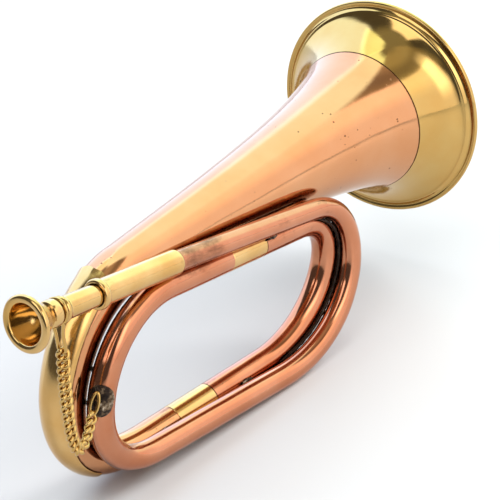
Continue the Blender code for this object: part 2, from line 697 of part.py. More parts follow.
def add_soldered_pieces(brass, solder, frame):
    """Stays between bows and receiver, and the solder seams between tubes that lie together."""
    grip = Vector((STAY_PLACE, 0.0, 0.0))
    add_stay("receiver_stay", grip, RECEIVER_RADIUS, THROAT, R_THROAT, STAY_RADIUS, brass, frame)
    for name, share in BRIDGE_SHARES:
        centre = bow_point(NEAR_BOW, share)
        beside = nearest_share(BELL_BOW, centre)
        add_stay(name, centre, R_NEAR_BOW, bow_point(BELL_BOW, beside), bell_bow_radius(beside),
                 BRIDGE_RADIUS, solder, frame)
    pipe = mix(PIPE_SET, PIPE_END, UPPER_SEAM_SHARES[0])
    upper = mix(UPPER_TWO_NEAR, UPPER_TWO_FAR, UPPER_SEAM_SHARES[1])
    add_seam("upper_seam", pipe, R_PIPE, upper, R_UPPER_TWO, UPPER_TWO_WAY, -Y_AXIS, solder, frame)
    for name, share in LOWER_SEAM_SHARES:
        one = mix(LOWER_ONE_FAR, LOWER_ONE_NEAR, share)
        two = mix(LOWER_TWO_FAR, LOWER_TWO_NEAR, share)
        r_one = mix(R_FAR_BOW_ONE, R_LOWER_ONE, share)
        r_two = mix(R_FAR_BOW_TWO, R_LOWER_TWO, share)
        add_seam(name, one, r_one, two, r_two, LOWER_ONE_WAY, Vector((0, 0, 1)), solder, frame)
    add_bow_seam(solder, frame)


def main():
    """Build the bugle."""
    clear_scene()
    frame = bpy.data.objects.new("instrument", None)
    frame.rotation_euler = Euler((0.0, STAND_TIP, 0.0))
    frame.location = STAND_AT
    bpy.context.collection.objects.link(frame)
    copper = metal("copper", COPPER, 0.12)
    brass = metal("brass", BRASS, 0.12)
    solder = metal("solder", SOLDER, 0.45)
    add_mouthpipe_branch(copper, frame)
    add_ferrule("upper_ferrule", "upper", UPPER_FERRULE, UPPER_TWO_WAY, brass, frame)
    add_middle_branch(copper, frame)
    add_ferrule("lower_ferrule", "lower", LOWER_FERRULE, LOWER_TWO_WAY, brass, frame)
    add_bell_branch(copper, frame)
    add_bell_flare(brass, frame)
    add_rim_bead(brass, frame)
    add_bow_guard(brass, frame)
    add_receiver(brass, frame)
    add_mouthpiece(brass, frame)
    add_ring(brass, frame)
    add_chain(brass, frame)
    add_anchor_patch(solder, frame)
    add_end_loop(brass, frame)
    add_soldered_pieces(brass, solder, frame)


main()
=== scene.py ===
"""The looks of a double-wound duty bugle of copper and brass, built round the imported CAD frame.

The instrument is laid out in its own frame, as the CAD is: X runs along the mouthpipe from the
mouthpiece's rim to the bell, Z is up across the coil, and -Y is the side that the mouthpipe is on.
`STAND` then tips it until the coil stands on its own two bows.
"""

import math

import bmesh
import bpy
from mathutils import Matrix, Vector, noise
from mathutils.kdtree import KDTree


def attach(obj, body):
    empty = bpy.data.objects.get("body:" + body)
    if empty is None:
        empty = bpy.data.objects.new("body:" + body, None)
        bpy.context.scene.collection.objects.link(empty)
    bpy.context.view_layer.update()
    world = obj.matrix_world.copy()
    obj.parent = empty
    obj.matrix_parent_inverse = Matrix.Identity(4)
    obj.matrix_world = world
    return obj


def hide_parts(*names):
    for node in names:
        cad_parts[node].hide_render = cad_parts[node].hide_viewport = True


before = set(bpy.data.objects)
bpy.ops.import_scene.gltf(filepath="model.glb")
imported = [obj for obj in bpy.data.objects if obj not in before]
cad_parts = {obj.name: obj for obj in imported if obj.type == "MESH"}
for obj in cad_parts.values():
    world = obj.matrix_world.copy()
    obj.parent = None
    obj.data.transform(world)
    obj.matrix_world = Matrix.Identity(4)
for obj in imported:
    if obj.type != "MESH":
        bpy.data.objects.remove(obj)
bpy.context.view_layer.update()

MM = 0.001
TAU = 2 * math.pi
X_AXIS = Vector((1.0, 0.0, 0.0))
Y_AXIS = Vector((0.0, 1.0, 0.0))
BUGLE = "bugle"
MOUTHPIECE = "mouthpiece"

# How the instrument stands.
STAND_TIP = math.radians(10.8)
STAND_AT = Vector((-166.025, -35.605, 130.34)) * MM
STAND = Matrix.Translation(STAND_AT) @ Matrix.Rotation(STAND_TIP, 4, "Y")

# Sheet, clearances and fineness of the meshes.
WALL = 0.6 * MM
GAP = 0.3 * MM
TUBE_SIDES = 56
BELL_SIDES = 112
BOW_STEPS = 64

# Straight tubes: where each one starts and ends.
PIPE_START = Vector((68.0, 0.0, 0.0)) * MM
PIPE_SET = Vector((100.0, 0.0, 0.0)) * MM
PIPE_END = Vector((214.3, -0.6, -2.5)) * MM
LOWER_ONE_FAR = Vector((192.6, -1.3, -89.6)) * MM
LOWER_ONE_NEAR = Vector((102.2, 7.1, -99.7)) * MM
UPPER_TWO_NEAR = Vector((101.6, 3.6, -12.7)) * MM
UPPER_TWO_FAR = Vector((212.2, 7.1, -13.0)) * MM
LOWER_TWO_FAR = Vector((196.0, 13.7, -86.9)) * MM
LOWER_TWO_NEAR = Vector((110.3, 22.3, -102.9)) * MM
THROAT = Vector((90.2, 22.5, -6.0)) * MM
BELL_MOUTH = Vector((328.8, 35.6, 21.4)) * MM

# How far each bow reaches past the two tubes that it joins.
FAR_BOW_ONE_REACH = (51.8 * MM, 67.7 * MM)
NEAR_BOW_REACH = (59.8 * MM, 55.2 * MM)
FAR_BOW_TWO_REACH = (47.7 * MM, 50.8 * MM)
BELL_BOW_REACH = (81.8 * MM, 48.1 * MM)

# The conical bore: outer radius of the tube at the end of each stretch.
R_PIPE = 5.45 * MM
R_PIPE_START = 5.25 * MM
R_FAR_BOW_ONE_MIDDLE = 6.05 * MM
R_FAR_BOW_ONE = 6.25 * MM
R_LOWER_ONE = 6.6 * MM
R_NEAR_BOW = 6.65 * MM
R_UPPER_TWO = 6.8 * MM
R_FAR_BOW_TWO_MIDDLE = 7.45 * MM
R_FAR_BOW_TWO = 7.6 * MM
R_LOWER_TWO = 8.25 * MM
R_BELL_BOW_MIDDLE = 10.8 * MM
R_THROAT = 12.75 * MM

# Bell and rim.
BELL_CONE = 0.039
FLARE_POWER = 0.4
FLARE_BEYOND_MOUTH = 13.0 * MM
RIM_RADIUS = 62.4 * MM
BEAD_RADIUS = 1.5 * MM
FLARE_LENGTH = 25.1 * MM
RIDGE_INSIDE = 5.2 * MM
RIDGE_WIDTH = 0.9 * MM
RIDGE_HEIGHT = 0.55 * MM

# Ferrules: the exposed stretch of each one, as a share of its straight tube.
UPPER_FERRULE = (0.417, 0.673)
LOWER_FERRULE = (0.474, 0.782)
SPIGOT = 5.0 * MM

# Receiver, in millimetres along and across the mouthpipe.
RECEIVER_FROM = 46.0
RECEIVER_TO = 103.0
RECEIVER_RADIUS = 6.3

# The guard: its stretch of the bell bow, its width, and where its top begins to be crumpled.
GUARD_THICKNESS = 0.6 * MM
GUARD_SHARES = (0.18, 0.895)
GUARD_HALF_ANGLE = math.radians(57)
GUARD_LOW_HALF_ANGLE = math.radians(48)
GUARD_WIDENING = 3.4
GUARD_CRUMPLE_FROM = 0.845

# Mouthpiece ring and curb chain; links hook over each other as wire of HOOK_WIRE would.
RING_PLACE = 20.9 * MM
RING_WIRE = 0.85 * MM
RING_NECK = 5.9 * MM
RING_DROP = 21.0 * MM
RING_EYE = 2.2 * MM
RING_OPEN = math.radians(38)
HOOK_WIRE = 0.55 * MM
LINK_WIRE = 1.05 * MM
LINK_FLATNESS = 0.85
LINK_HALF_WIDTH = 2.3 * MM
LINK_COUNT = 20
LINK_TWIST = math.radians(-42)
CHAIN_HANG = (47.47 * MM, 26.91 * MM)
CHAIN_BULGE = 6.88 * MM
CHAIN_DRIFT = math.radians(-3.43)
CHAIN_TURN = 17.663 * MM
CHAIN_FACE = Vector((-0.72, -0.62, 0.30))

# The solder patch on the near bow, where the chain is fastened.
PATCH_AT = 0.518
PATCH_THICKNESS = 0.8 * MM
PATCH_HALF_HEIGHT = 8.0 * MM
PATCH_TURN = math.radians(-36)
PATCH_HALF_ANGLE = math.radians(62)
NEAR_BOW_LENGTH = 146.0 * MM
END_LOOP_TURN = math.radians(-21.57)
END_LOOP_TILT = math.radians(2.94)
END_LOOP_HALF_LENGTH = 4.8 * MM
END_LOOP_HALF_WIDTH = 1.6 * MM
END_LOOP_WIRE = 0.75 * MM
END_LOOP_RISE = -0.113 * MM
END_LOOP_LIFT = 2.324 * MM

# Stays, and solder seams between tubes that lie side by side.
STAY_PLACE = 89.0 * MM
STAY_RADIUS = 2.2 * MM
BRIDGE_RADIUS = 1.4 * MM
SEAM_RADIUS = 1.0 * MM
SEAM_HALF_LENGTH = 4.0 * MM
SEAM_SINK = 0.25 * MM
BOW_SEAM_SHARES = (0.06, 0.97)
BOW_SEAM_SIDE = Vector((-0.75, -0.55, 0.35))

# Tarnish and painted shade beside other pieces: how far each reaches from them and how strong it is.
# Crevices between tubes get tarnishing and painted shade, the near bow's side by the bell bow and the bell
# bow beside the guard's edges get painted shade, and the flare seam gets dirt.
CREVICE_REACH = 3.0 * MM
CREVICE_SHADE_AND_TARNISH = 2.0
BOW_SHADE_REACH = 12.0 * MM
BOW_PAINTED_SHADE = 1.5
FLARE_SEAM_DIRT = 0.55 * MM
GUARD_EDGE_SHADOW_REACH = 1.4 * MM
JOINT_STAIN_AND_EDGE_SHADOW = 2.2

# Drawn sheet is never quite even: the size of its broad and its small humps.
BROAD_HUMP = 16 * MM
SMALL_HUMP = 6 * MM
SMALL_HUMP_SHARE = 0.3

# How finely curves are followed when a place on them is looked for.
CURVE_STEPS = 400


# ------------------------------------------------------------------ meshes

def finish_mesh(cad_node, builder, runs, material, body=BUGLE, sharp=40, stain_and_shade=None):
    """Turn a bmesh in the instrument's frame into a piece that stands in for its CAD node.

    `runs` gives every vertex its place along and round the metal, for grain that follows it, and
    the last argument says how tarnished the metal is there and how much shade is painted on it.
    """
    name = cad_node + "_shape"
    builder.verts.ensure_lookup_table()
    bmesh.ops.recalc_face_normals(builder, faces=builder.faces)
    mesh = bpy.data.meshes.new(name)
    builder.to_mesh(mesh)
    builder.free()
    points = [v.co.copy() for v in mesh.vertices]
    grain = mesh.attributes.new("grain", "FLOAT_VECTOR", "POINT")
    for item, run in zip(grain.data, runs or points):
        item.vector = run
    tarnish_and_shade = mesh.attributes.new("tarnish_and_shade", "FLOAT", "POINT")
    for item, point in zip(tarnish_and_shade.data, points):
        item.value = stain_and_shade(point) if stain_and_shade else 0.0
    mesh.transform(STAND)
    mesh.shade_smooth()
    mesh.set_sharp_from_angle(angle=math.radians(sharp))
    mesh.materials.append(material)
    piece = bpy.data.objects.new(name, mesh)
    bpy.context.scene.collection.objects.link(piece)
    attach(piece, body)
    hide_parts(cad_node)


def side_of(tangent):
    """The direction across the coil (+Y side) that is square to a tube."""
    return (Y_AXIS - tangent * Y_AXIS.dot(tangent)).normalized()


def ring_point(centre, tangent, radius, angle):
    """A point round a tube. Angle 0 is the outside of a bow, and +90 degrees is the +Y side."""
    side = side_of(tangent)
    outward = tangent.cross(side)
    return centre + radius * (math.cos(angle) * outward + math.sin(angle) * side)


def tangents(centres):
    """Direction of travel at each centre."""
    last = len(centres) - 1
    return [(centres[min(i + 1, last)] - centres[max(i - 1, 0)]).normalized() for i in range(last + 1)]


def skin(builder, rings, closed_round=True):
    """Faces between neighbouring rows of vertices."""
    for first, second in zip(rings, rings[1:]):
        count = len(first)
        for k in range(count if closed_round else count - 1):
            n = (k + 1) % count
            builder.faces.new((first[k], first[n], second[n], second[k]))


def lofted(sections, plate=False):
    """A body through sections of points, closed at both ends; a plate's ends are cut into triangles."""
    builder = bmesh.new()
    rows = [[builder.verts.new(point) for point in section] for section in sections]
    skin(builder, rows)
    builder.faces.new(rows[0])
    builder.faces.new(rows[-1])
    if plate:
        bmesh.ops.triangulate(builder, faces=[f for f in builder.faces if len(f.verts) > 4])
    return builder


def plate_section(columns):
    """(layer, share) once round a thin plate: outside (1) from edge to edge, then back inside (0)."""
    shares = [2 * k / columns - 1 for k in range(columns + 1)]
    return [(1, share) for share in shares] + [(0, share) for share in reversed(shares)]


def lengths_along(centres):
    """Distance travelled at each centre."""
    total = [0.0]
    for a, b in zip(centres, centres[1:]):
        total.append(total[-1] + (b - a).length)
    return total


def uneven(point, size, height):
    """A smooth, slow unevenness of a drawn tube: about `height` over humps of about `size`."""
    return height * noise.noise(point / size)


def rows_of_rings(stations, sides, wobble=0.0):
    """Vertex rings and their grain for (centre, tangent, radius, along) stations."""
    builder = bmesh.new()
    rings = []
    runs = []
    for centre, tangent, radius, along in stations:
        row = []
        for k in range(sides):
            angle = TAU * k / sides
            point = ring_point(centre, tangent, radius, angle)
            if wobble:
                extra = uneven(point, BROAD_HUMP, wobble)
                extra += uneven(point, SMALL_HUMP, SMALL_HUMP_SHARE * wobble)
                point = ring_point(centre, tangent, radius + extra, angle)
            row.append(builder.verts.new(point))
            runs.append(Vector((along, radius * math.cos(angle), radius * math.sin(angle))))
        rings.append(row)
    return builder, rings, runs


def hollow_tube(centres, outer, inner, sides, ways=None, wobble=0.0):
    """A tube with open ends: outer and inner skins joined by a flat ring at each end."""
    ways = ways or tangents(centres)
    along = lengths_along(centres)
    outside = list(zip(centres, ways, outer, along))
    inside = list(zip(centres, ways, inner, along))[::-1]
    builder, rings, runs = rows_of_rings(outside + inside, sides, wobble)
    skin(builder, rings + rings[:1])
    return builder, runs


def turned(profile, sides, origin=Vector((0.0, 0.0, 0.0)), axis=X_AXIS, wobble=0.0):
    """A closed (along, radius) outline turned about an axis."""
    stations = [(origin + axis * along, axis, radius, along) for along, radius in profile]
    builder, rings, runs = rows_of_rings(stations, sides, wobble)
    skin(builder, rings + rings[:1])
    return builder, runs


def rounded_outline(points, steps, keep=()):
    """A closed outline with `steps` points on a smooth curve between neighbours.

    The points whose indices are in `keep` stay corners.
    """
    count = len(points)
    outline = []
    for i in range(count):
        before, here, there, after = (points[(i + k) % count] for k in (-1, 0, 1, 2))
        if i in keep:
            before = here
        if (i + 1) % count in keep:
            after = there
        for k in range(steps):
            t = k / steps
            outline.append(tuple(catmull(before[j], here[j], there[j], after[j], t) for j in range(2)))
    return outline


def catmull(a, b, c, d, t):
    """Catmull-Rom value between b and c."""
    square = (2 * a - 5 * b + 4 * c - d) * t * t
    cube = (3 * b - a - 3 * c + d) * t**3
    return 0.5 * (2 * b + (c - a) * t + square + cube)


def smooth_loop(points, steps):
    """A closed smooth curve through points."""
    count = len(points)
    curve = []
    for i in range(count):
        a, b, c, d = (points[(i + k) % count] for k in (-1, 0, 1, 2))
        curve += [catmull(a, b, c, d, k / steps) for k in range(steps)]
    return curve


def swept_wire(points, radius, sides, across, flatten=1.0):
    """A closed loop of wire; `flatten` squeezes its section along `across`."""
    builder = bmesh.new()
    count = len(points)
    rows = []
    runs = []
    covered = 0.0
    for i, point in enumerate(points):
        tangent = (points[(i + 1) % count] - points[i - 1]).normalized()
        first = (across - tangent * across.dot(tangent)).normalized()
        second = tangent.cross(first)
        row = []
        for k in range(sides):
            a = TAU * k / sides
            offset = radius * (flatten * math.cos(a) * first + math.sin(a) * second)
            row.append(builder.verts.new(point + offset))
            runs.append(Vector((covered, radius * math.cos(a), radius * math.sin(a))))
        rows.append(row)
        covered += (points[(i + 1) % count] - point).length
    skin(builder, rows + rows[:1])
    return builder, runs


# ------------------------------------------------------------------ the instrument's centrelines

def mix(a, b, share):
    """Part way from a to b."""
    return a + (b - a) * share


def smooth(t):
    """Ease from 0 to 1."""
    t = min(1.0, max(0.0, t))
    return t * t * (3 - 2 * t)


def direction(a, b):
    """Unit vector from a to b."""
    return (b - a).normalized()


def bow_point(bend, t):
    """A point on a bend, from 0 where it leaves one tube to 1 where it joins the next."""
    start, start_way, end, end_way, reach = bend
    s = 1.0 - t
    control_a = start + start_way * reach[0]
    control_b = end - end_way * reach[1]
    return start * s**3 + control_a * 3 * s * s * t + control_b * 3 * s * t * t + end * t**3


def bow_way(bend, t):
    """Direction of travel on a bend."""
    return direction(bow_point(bend, t - 0.01), bow_point(bend, t + 0.01))


def opening_radius(r_start, r_middle, r_end, t):
    """Radius on a bend whose bore opens from one end to the middle and on to the other end."""
    if t < 0.5:
        return mix(r_start, r_middle, 2 * t)
    return mix(r_middle, r_end, 2 * t - 1)


def bow_run(bend, r_start, r_middle, r_end):
    """Centres and radii on a bend."""
    shares = [i / BOW_STEPS for i in range(BOW_STEPS + 1)]
    centres = [bow_point(bend, t) for t in shares]
    return centres, [opening_radius(r_start, r_middle, r_end, t) for t in shares]


def straight_run(a, b, r_a, r_b, steps=24):
    """Centres and radii between two bends, both ends left out."""
    shares = [i / steps for i in range(1, steps)]
    return [mix(a, b, t) for t in shares], [mix(r_a, r_b, t) for t in shares]


def joined(*runs):
    """One list of centres and one of radii from several runs."""
    return [c for run in runs for c in run[0]], [r for run in runs for r in run[1]]


PIPE_WAY = direction(PIPE_SET, PIPE_END)
LOWER_ONE_WAY = direction(LOWER_ONE_FAR, LOWER_ONE_NEAR)
UPPER_TWO_WAY = direction(UPPER_TWO_NEAR, UPPER_TWO_FAR)
LOWER_TWO_WAY = direction(LOWER_TWO_FAR, LOWER_TWO_NEAR)
BELL_WAY = direction(THROAT, BELL_MOUTH)
BELL_LENGTH = (BELL_MOUTH - THROAT).length
FAR_BOW_ONE = (PIPE_END, PIPE_WAY, LOWER_ONE_FAR, LOWER_ONE_WAY, FAR_BOW_ONE_REACH)
NEAR_BOW = (LOWER_ONE_NEAR, LOWER_ONE_WAY, UPPER_TWO_NEAR, UPPER_TWO_WAY, NEAR_BOW_REACH)
FAR_BOW_TWO = (UPPER_TWO_FAR, UPPER_TWO_WAY, LOWER_TWO_FAR, LOWER_TWO_WAY, FAR_BOW_TWO_REACH)
BELL_BOW = (LOWER_TWO_NEAR, LOWER_TWO_WAY, THROAT, BELL_WAY, BELL_BOW_REACH)


def bell_bow_radius(t):
    """Outer radius on the bell bow; its bore opens faster towards the throat."""
    return opening_radius(R_LOWER_TWO, R_BELL_BOW_MIDDLE, R_THROAT, t)


def bell_radius(along):
    """Outer radius of the bell at a distance from the throat."""
    def opening(distance):
        return (BELL_LENGTH + FLARE_BEYOND_MOUTH - distance) ** -FLARE_POWER
    edge = RIM_RADIUS - BEAD_RADIUS
    grown = edge - R_THROAT - BELL_CONE * BELL_LENGTH
    flare = grown * (opening(along) - opening(0.0)) / (opening(BELL_LENGTH) - opening(0.0))
    return R_THROAT + BELL_CONE * along + flare


def ferrule_point(which, share):
    """A point and tube radius at a share of the way along a tube that has a ferrule."""
    if which == "upper":
        return mix(UPPER_TWO_NEAR, UPPER_TWO_FAR, share), mix(R_NEAR_BOW, R_UPPER_TWO, share)
    return mix(LOWER_TWO_FAR, LOWER_TWO_NEAR, share), mix(R_FAR_BOW_TWO, R_LOWER_TWO, share)


def close_to(places, reach):
    """How near a point is to any of some places: 1 there, 0 at `reach` and beyond."""
    def value(point):
        nearest = min((point - place).length for place in places)
        return smooth(1.0 - nearest / reach)
    return value


def close_to_lines(runs, reach):
    """How near a point is to the skin of any of some tubes, each given as (centres, radii).

    It is 1 there and 0 at `reach` and beyond.
    """
    trees = []
    for centres, radii in runs:
        tree = KDTree(len(centres))
        for i, centre in enumerate(centres):
            tree.insert(centre, i)
        tree.balance()
        trees.append((tree, radii))
    def value(point):
        found = [(tree.find(point), radii) for tree, radii in trees]
        nearest = min(distance - radii[index] for (_, index, distance), radii in found)
        return smooth(1.0 - nearest / reach)
    return value


def at_flare_seam(point):
    """1 on the seam between the bell's copper and brass, 0 a little way off it."""
    off = abs((point - THROAT).dot(BELL_WAY) - (BELL_LENGTH - FLARE_LENGTH))
    return smooth(1.0 - off / FLARE_SEAM_DIRT)


def strongest(*marks):
    """The strongest of several marks of tarnishing and painted shade, each given as (function, strength).
    """
    return lambda point: max(strength * stain_and_shade(point) for stain_and_shade, strength in marks)


def mouthpipe_run():
    """Centres and radii of the mouthpipe branch as far as its upper ferrule."""
    end, end_radius = ferrule_point("upper", UPPER_FERRULE[0])
    end = end - UPPER_TWO_WAY * GAP / 2
    return joined(
        ([PIPE_START], [R_PIPE_START]),
        straight_run(PIPE_START, PIPE_SET, R_PIPE_START, R_PIPE_START, 4),
        ([PIPE_SET], [R_PIPE_START]),
        straight_run(PIPE_SET, PIPE_END, R_PIPE_START, R_PIPE, 60),
        bow_run(FAR_BOW_ONE, R_PIPE, R_FAR_BOW_ONE_MIDDLE, R_FAR_BOW_ONE),
        straight_run(LOWER_ONE_FAR, LOWER_ONE_NEAR, R_FAR_BOW_ONE, R_LOWER_ONE, 50),
        bow_run(NEAR_BOW, R_LOWER_ONE, (R_LOWER_ONE + R_NEAR_BOW) / 2, R_NEAR_BOW),
        straight_run(UPPER_TWO_NEAR, end, R_NEAR_BOW, end_radius, 30),
        ([end], [end_radius]))


def middle_run():
    """Centres and radii of the middle branch, between the two ferrules."""
    start, start_radius = ferrule_point("upper", UPPER_FERRULE[1])
    end, end_radius = ferrule_point("lower", LOWER_FERRULE[0])
    start = start + UPPER_TWO_WAY * GAP / 2
    end = end - LOWER_TWO_WAY * GAP / 2
    return joined(
        ([start], [start_radius]),
        straight_run(start, UPPER_TWO_FAR, start_radius, R_UPPER_TWO, 20),
        bow_run(FAR_BOW_TWO, R_UPPER_TWO, R_FAR_BOW_TWO_MIDDLE, R_FAR_BOW_TWO),
        straight_run(LOWER_TWO_FAR, end, R_FAR_BOW_TWO, end_radius, 20),
        ([end], [end_radius]))


def bell_run():
    """Centres and radii from the lower ferrule round the bell bow and along the bell's narrow half."""
    start, start_radius = ferrule_point("lower", LOWER_FERRULE[1])
    alongs = [BELL_LENGTH * 0.8 * i / 120 for i in range(1, 121)]
    return joined(
        straight_run(start, LOWER_TWO_NEAR, start_radius, R_LOWER_TWO, 20),
        bow_run(BELL_BOW, R_LOWER_TWO, R_BELL_BOW_MIDDLE, R_THROAT),
        ([THROAT + BELL_WAY * a for a in alongs], [bell_radius(a) for a in alongs]))


def guard_edge():
    """Points just outside the guard's two long edges and its lower end, as a thin run."""
    first, last = GUARD_SHARES
    points = []
    for i in range(121):
        t = mix(first, last, i / 120)
        centre, way, radius = bow_point(BELL_BOW, t), bow_way(BELL_BOW, t), bell_bow_radius(t)
        points += [ring_point(centre, way, radius, turn * guard_half_angle(t)) for turn in (1, -1)]
    centre, way, radius = bow_point(BELL_BOW, first), bow_way(BELL_BOW, first), bell_bow_radius(first)
    points += [ring_point(centre, way, radius, GUARD_LOW_HALF_ANGLE * (i / 20 - 1)) for i in range(41)]
    return points, [0.0] * len(points)


def guard_half_angle(t):
    """Half of the angle that the guard covers; it is narrower at its lower end."""
    first = GUARD_SHARES[0]
    return mix(GUARD_LOW_HALF_ANGLE, GUARD_HALF_ANGLE, smooth(min(1.0, GUARD_WIDENING * (t - first))))


# ------------------------------------------------------------------ materials

# How fine the textures are. A stretch gives the humps per metre along, across and into the metal.
TONES_PER_METRE = 38.0
SMEARS_PER_METRE = 55.0
DENTS_PER_METRE = 120.0
LUMPS_PER_METRE = 210.0
BLOTCHES_PER_METRE = 330.0
PITS_PER_METRE = 260.0
PIT_CLUSTERS_PER_METRE = 60.0
LARGEST_PIT = 0.16
SCUFF_STRETCH = (90.0, 420.0, 420.0)
LENGTHWISE_STRETCH = (60.0, 2600.0, 2600.0)
CROSSWISE_STRETCH = (3000.0, 70.0, 70.0)


def node(tree, kind, inputs=None, **settings):
    """Add a node, set its properties and its inputs; an input that is a socket is linked."""
    made = tree.nodes.new(kind)
    for key, value in settings.items():
        setattr(made, key, value)
    for key, value in (inputs or {}).items():
        if isinstance(value, bpy.types.NodeSocket):
            tree.links.new(value, made.inputs[key])
        else:
            made.inputs[key].default_value = value
    return made


def ramp(tree, factor, stops):
    """A colour ramp from (position, colour) stops."""
    made = node(tree, "ShaderNodeValToRGB", {"Fac": factor})
    elements = made.color_ramp.elements
    while len(elements) < len(stops):
        elements.new(0.5)
    for element, (position, colour) in zip(elements, stops):
        element.position = position
        element.color = (*colour, 1.0)
    return made.outputs["Color"]


def spread(tree, value, low, high, to_low=0.0, to_high=1.0):
    """Stretch a value from one range to another, clamped."""
    made = node(tree, "ShaderNodeMapRange",
                {"Value": value, "From Min": low, "From Max": high, "To Min": to_low, "To Max": to_high})
    return made.outputs["Result"]


def maths(tree, operation, a, b):
    """One arithmetic step."""
    return node(tree, "ShaderNodeMath", {0: a, 1: b}, operation=operation).outputs[0]


def blend_colour(tree, factor, a, b):
    """Mix two colours."""
    made = node(tree, "ShaderNodeMix", data_type="RGBA")
    colour_inputs = [socket for socket in made.inputs if socket.type == "RGBA"]
    for socket, value in zip((made.inputs[0], *colour_inputs), (factor, a, b)):
        if isinstance(value, tuple):
            socket.default_value = (*value, 1.0)
        else:
            tree.links.new(value, socket)
    return next(socket for socket in made.outputs if socket.type == "RGBA")


def cloud(tree, vector, scale, detail=4.0, roughness=0.55):
    """Noise of about `scale` humps per metre."""
    made = node(tree, "ShaderNodeTexNoise",
                {"Vector": vector, "Scale": scale, "Detail": detail, "Roughness": roughness})
    return made.outputs[0]


def stretched(tree, vector, factors):
    """A vector scaled by three factors."""
    made = node(tree, "ShaderNodeVectorMath", {0: vector, 1: factors}, operation="MULTIPLY")
    return made.outputs[0]


def new_material(name):
    """A material with nodes, with its node tree and its shader."""
    material = bpy.data.materials.new(name)
    material.use_nodes = True
    return material, material.node_tree, material.node_tree.nodes["Principled BSDF"]


def tarnish_and_shade_mask(tree, place, grain, told, stain_all):
    """Where metal is tarnished: in blotches and in lengthwise scuffs, and more where it is told, which also
    carries painted shade.
    """
    blotch = cloud(tree, place, BLOTCHES_PER_METRE, 6.0, 0.7)
    scuff = cloud(tree, stretched(tree, grain, SCUFF_STRETCH), 1.0, 5.0, 0.65)
    rubbed = maths(tree, "ADD", maths(tree, "MULTIPLY", blotch, 0.45), maths(tree, "MULTIPLY", scuff, 0.55))
    worn = maths(tree, "ADD", maths(tree, "MULTIPLY", told, 0.42), stain_all)
    return spread(tree, maths(tree, "ADD", rubbed, worn), 0.70, 1.10, 0.0, 0.95)


def pit_mask(tree, place, pit_share):
    """Small round pits that come in clusters."""
    speck = node(tree, "ShaderNodeTexVoronoi", {"Vector": place, "Scale": PITS_PER_METRE}, feature="F1")
    clusters = cloud(tree, place, PIT_CLUSTERS_PER_METRE, 2.0)
    size = spread(tree, clusters, 0.45, 0.75, 0.0, LARGEST_PIT * pit_share)
    return spread(tree, maths(tree, "SUBTRACT", size, speck.outputs["Distance"]), 0.0, 0.05)


def bump(tree, height, strength, distance, under=None):
    """A small relief, on top of another one if `under` is its normal."""
    inputs = {"Height": height, "Strength": strength, "Distance": distance}
    if under:
        inputs["Normal"] = under
    return node(tree, "ShaderNodeBump", inputs).outputs[0]


def polished(name, clean, warm, tarnish_and_shade, roughness, haze=0.10, pit_share=0.0, stain_all=0.0):
    """Polished sheet metal: cloudy tone, wiped haze, fine scratches, pits, and tarnishing and painted shade
    where it is told.
    """
    material, tree, shader = new_material(name)
    place = node(tree, "ShaderNodeTexCoord").outputs["Object"]
    grain = node(tree, "ShaderNodeAttribute", attribute_name="grain").outputs["Vector"]
    told = node(tree, "ShaderNodeAttribute", attribute_name="tarnish_and_shade").outputs["Fac"]

    tone = spread(tree, cloud(tree, place, TONES_PER_METRE, 5.0), 0.35, 0.65)
    stain_and_shade = tarnish_and_shade_mask(tree, place, grain, told, stain_all)
    pit = pit_mask(tree, place, pit_share)
    # The dark colour goes where the mask says, both as tarnishing and as painted shade.
    body = blend_colour(tree, stain_and_shade, blend_colour(tree, tone, clean, warm), tarnish_and_shade)
    body = blend_colour(tree, maths(tree, "MULTIPLY", pit, 0.7), body, tarnish_and_shade)
    tree.links.new(body, shader.inputs["Base Color"])

    lengthwise = cloud(tree, stretched(tree, grain, LENGTHWISE_STRETCH), 1.0, 3.0, 0.6)
    crosswise = cloud(tree, stretched(tree, grain, CROSSWISE_STRETCH), 1.0, 3.0, 0.6)
    smear = spread(tree, cloud(tree, place, SMEARS_PER_METRE, 6.0, 0.65), 0.4, 0.75, 0.0, haze)
    streak = spread(tree, lengthwise, 0.55, 0.9, 0.0, 0.10)
    rough = maths(tree, "ADD", maths(tree, "ADD", smear, streak), roughness)
    rough = maths(tree, "ADD", rough, maths(tree, "MULTIPLY", stain_and_shade, 0.28))
    tree.links.new(rough, shader.inputs["Roughness"])

    scratch = maths(tree, "ADD", maths(tree, "MULTIPLY", lengthwise, 0.5), crosswise)
    fine = bump(tree, scratch, 0.035, 0.2 * MM)
    dented = bump(tree, cloud(tree, place, DENTS_PER_METRE, 2.0, 0.4), 0.05, 0.6 * MM, fine)
    pitted = bump(tree, maths(tree, "MULTIPLY", pit, -1.0), 0.4, 0.2 * MM, dented)
    tree.links.new(pitted, shader.inputs["Normal"])
    shader.inputs["Metallic"].default_value = 1.0
    return material


def soldered(name, pale=1.0):
    """Solder that has gone dull and dark, with scraped places that are paler, as far as `pale` says."""
    material, tree, shader = new_material(name)
    place = node(tree, "ShaderNodeTexCoord").outputs["Object"]
    lumps = cloud(tree, place, LUMPS_PER_METRE, 5.0, 0.6)
    burnt = [(0.34, (0.008, 0.005, 0.004)), (0.50, (0.028, 0.017, 0.012))]
    bright = [(0.58, (0.16, 0.105, 0.060)), (0.68, (0.50, 0.42, 0.32))]
    scraped = [(position, tuple(pale * part for part in colour)) for position, colour in bright]
    tree.links.new(ramp(tree, lumps, burnt + scraped), shader.inputs["Base Color"])
    tree.links.new(spread(tree, lumps, 0.35, 0.7, 0.34, 0.16), shader.inputs["Roughness"])
    tree.links.new(bump(tree, lumps, 0.7, 1.2 * MM), shader.inputs["Normal"])
    shader.inputs["Metallic"].default_value = 0.85
    return material


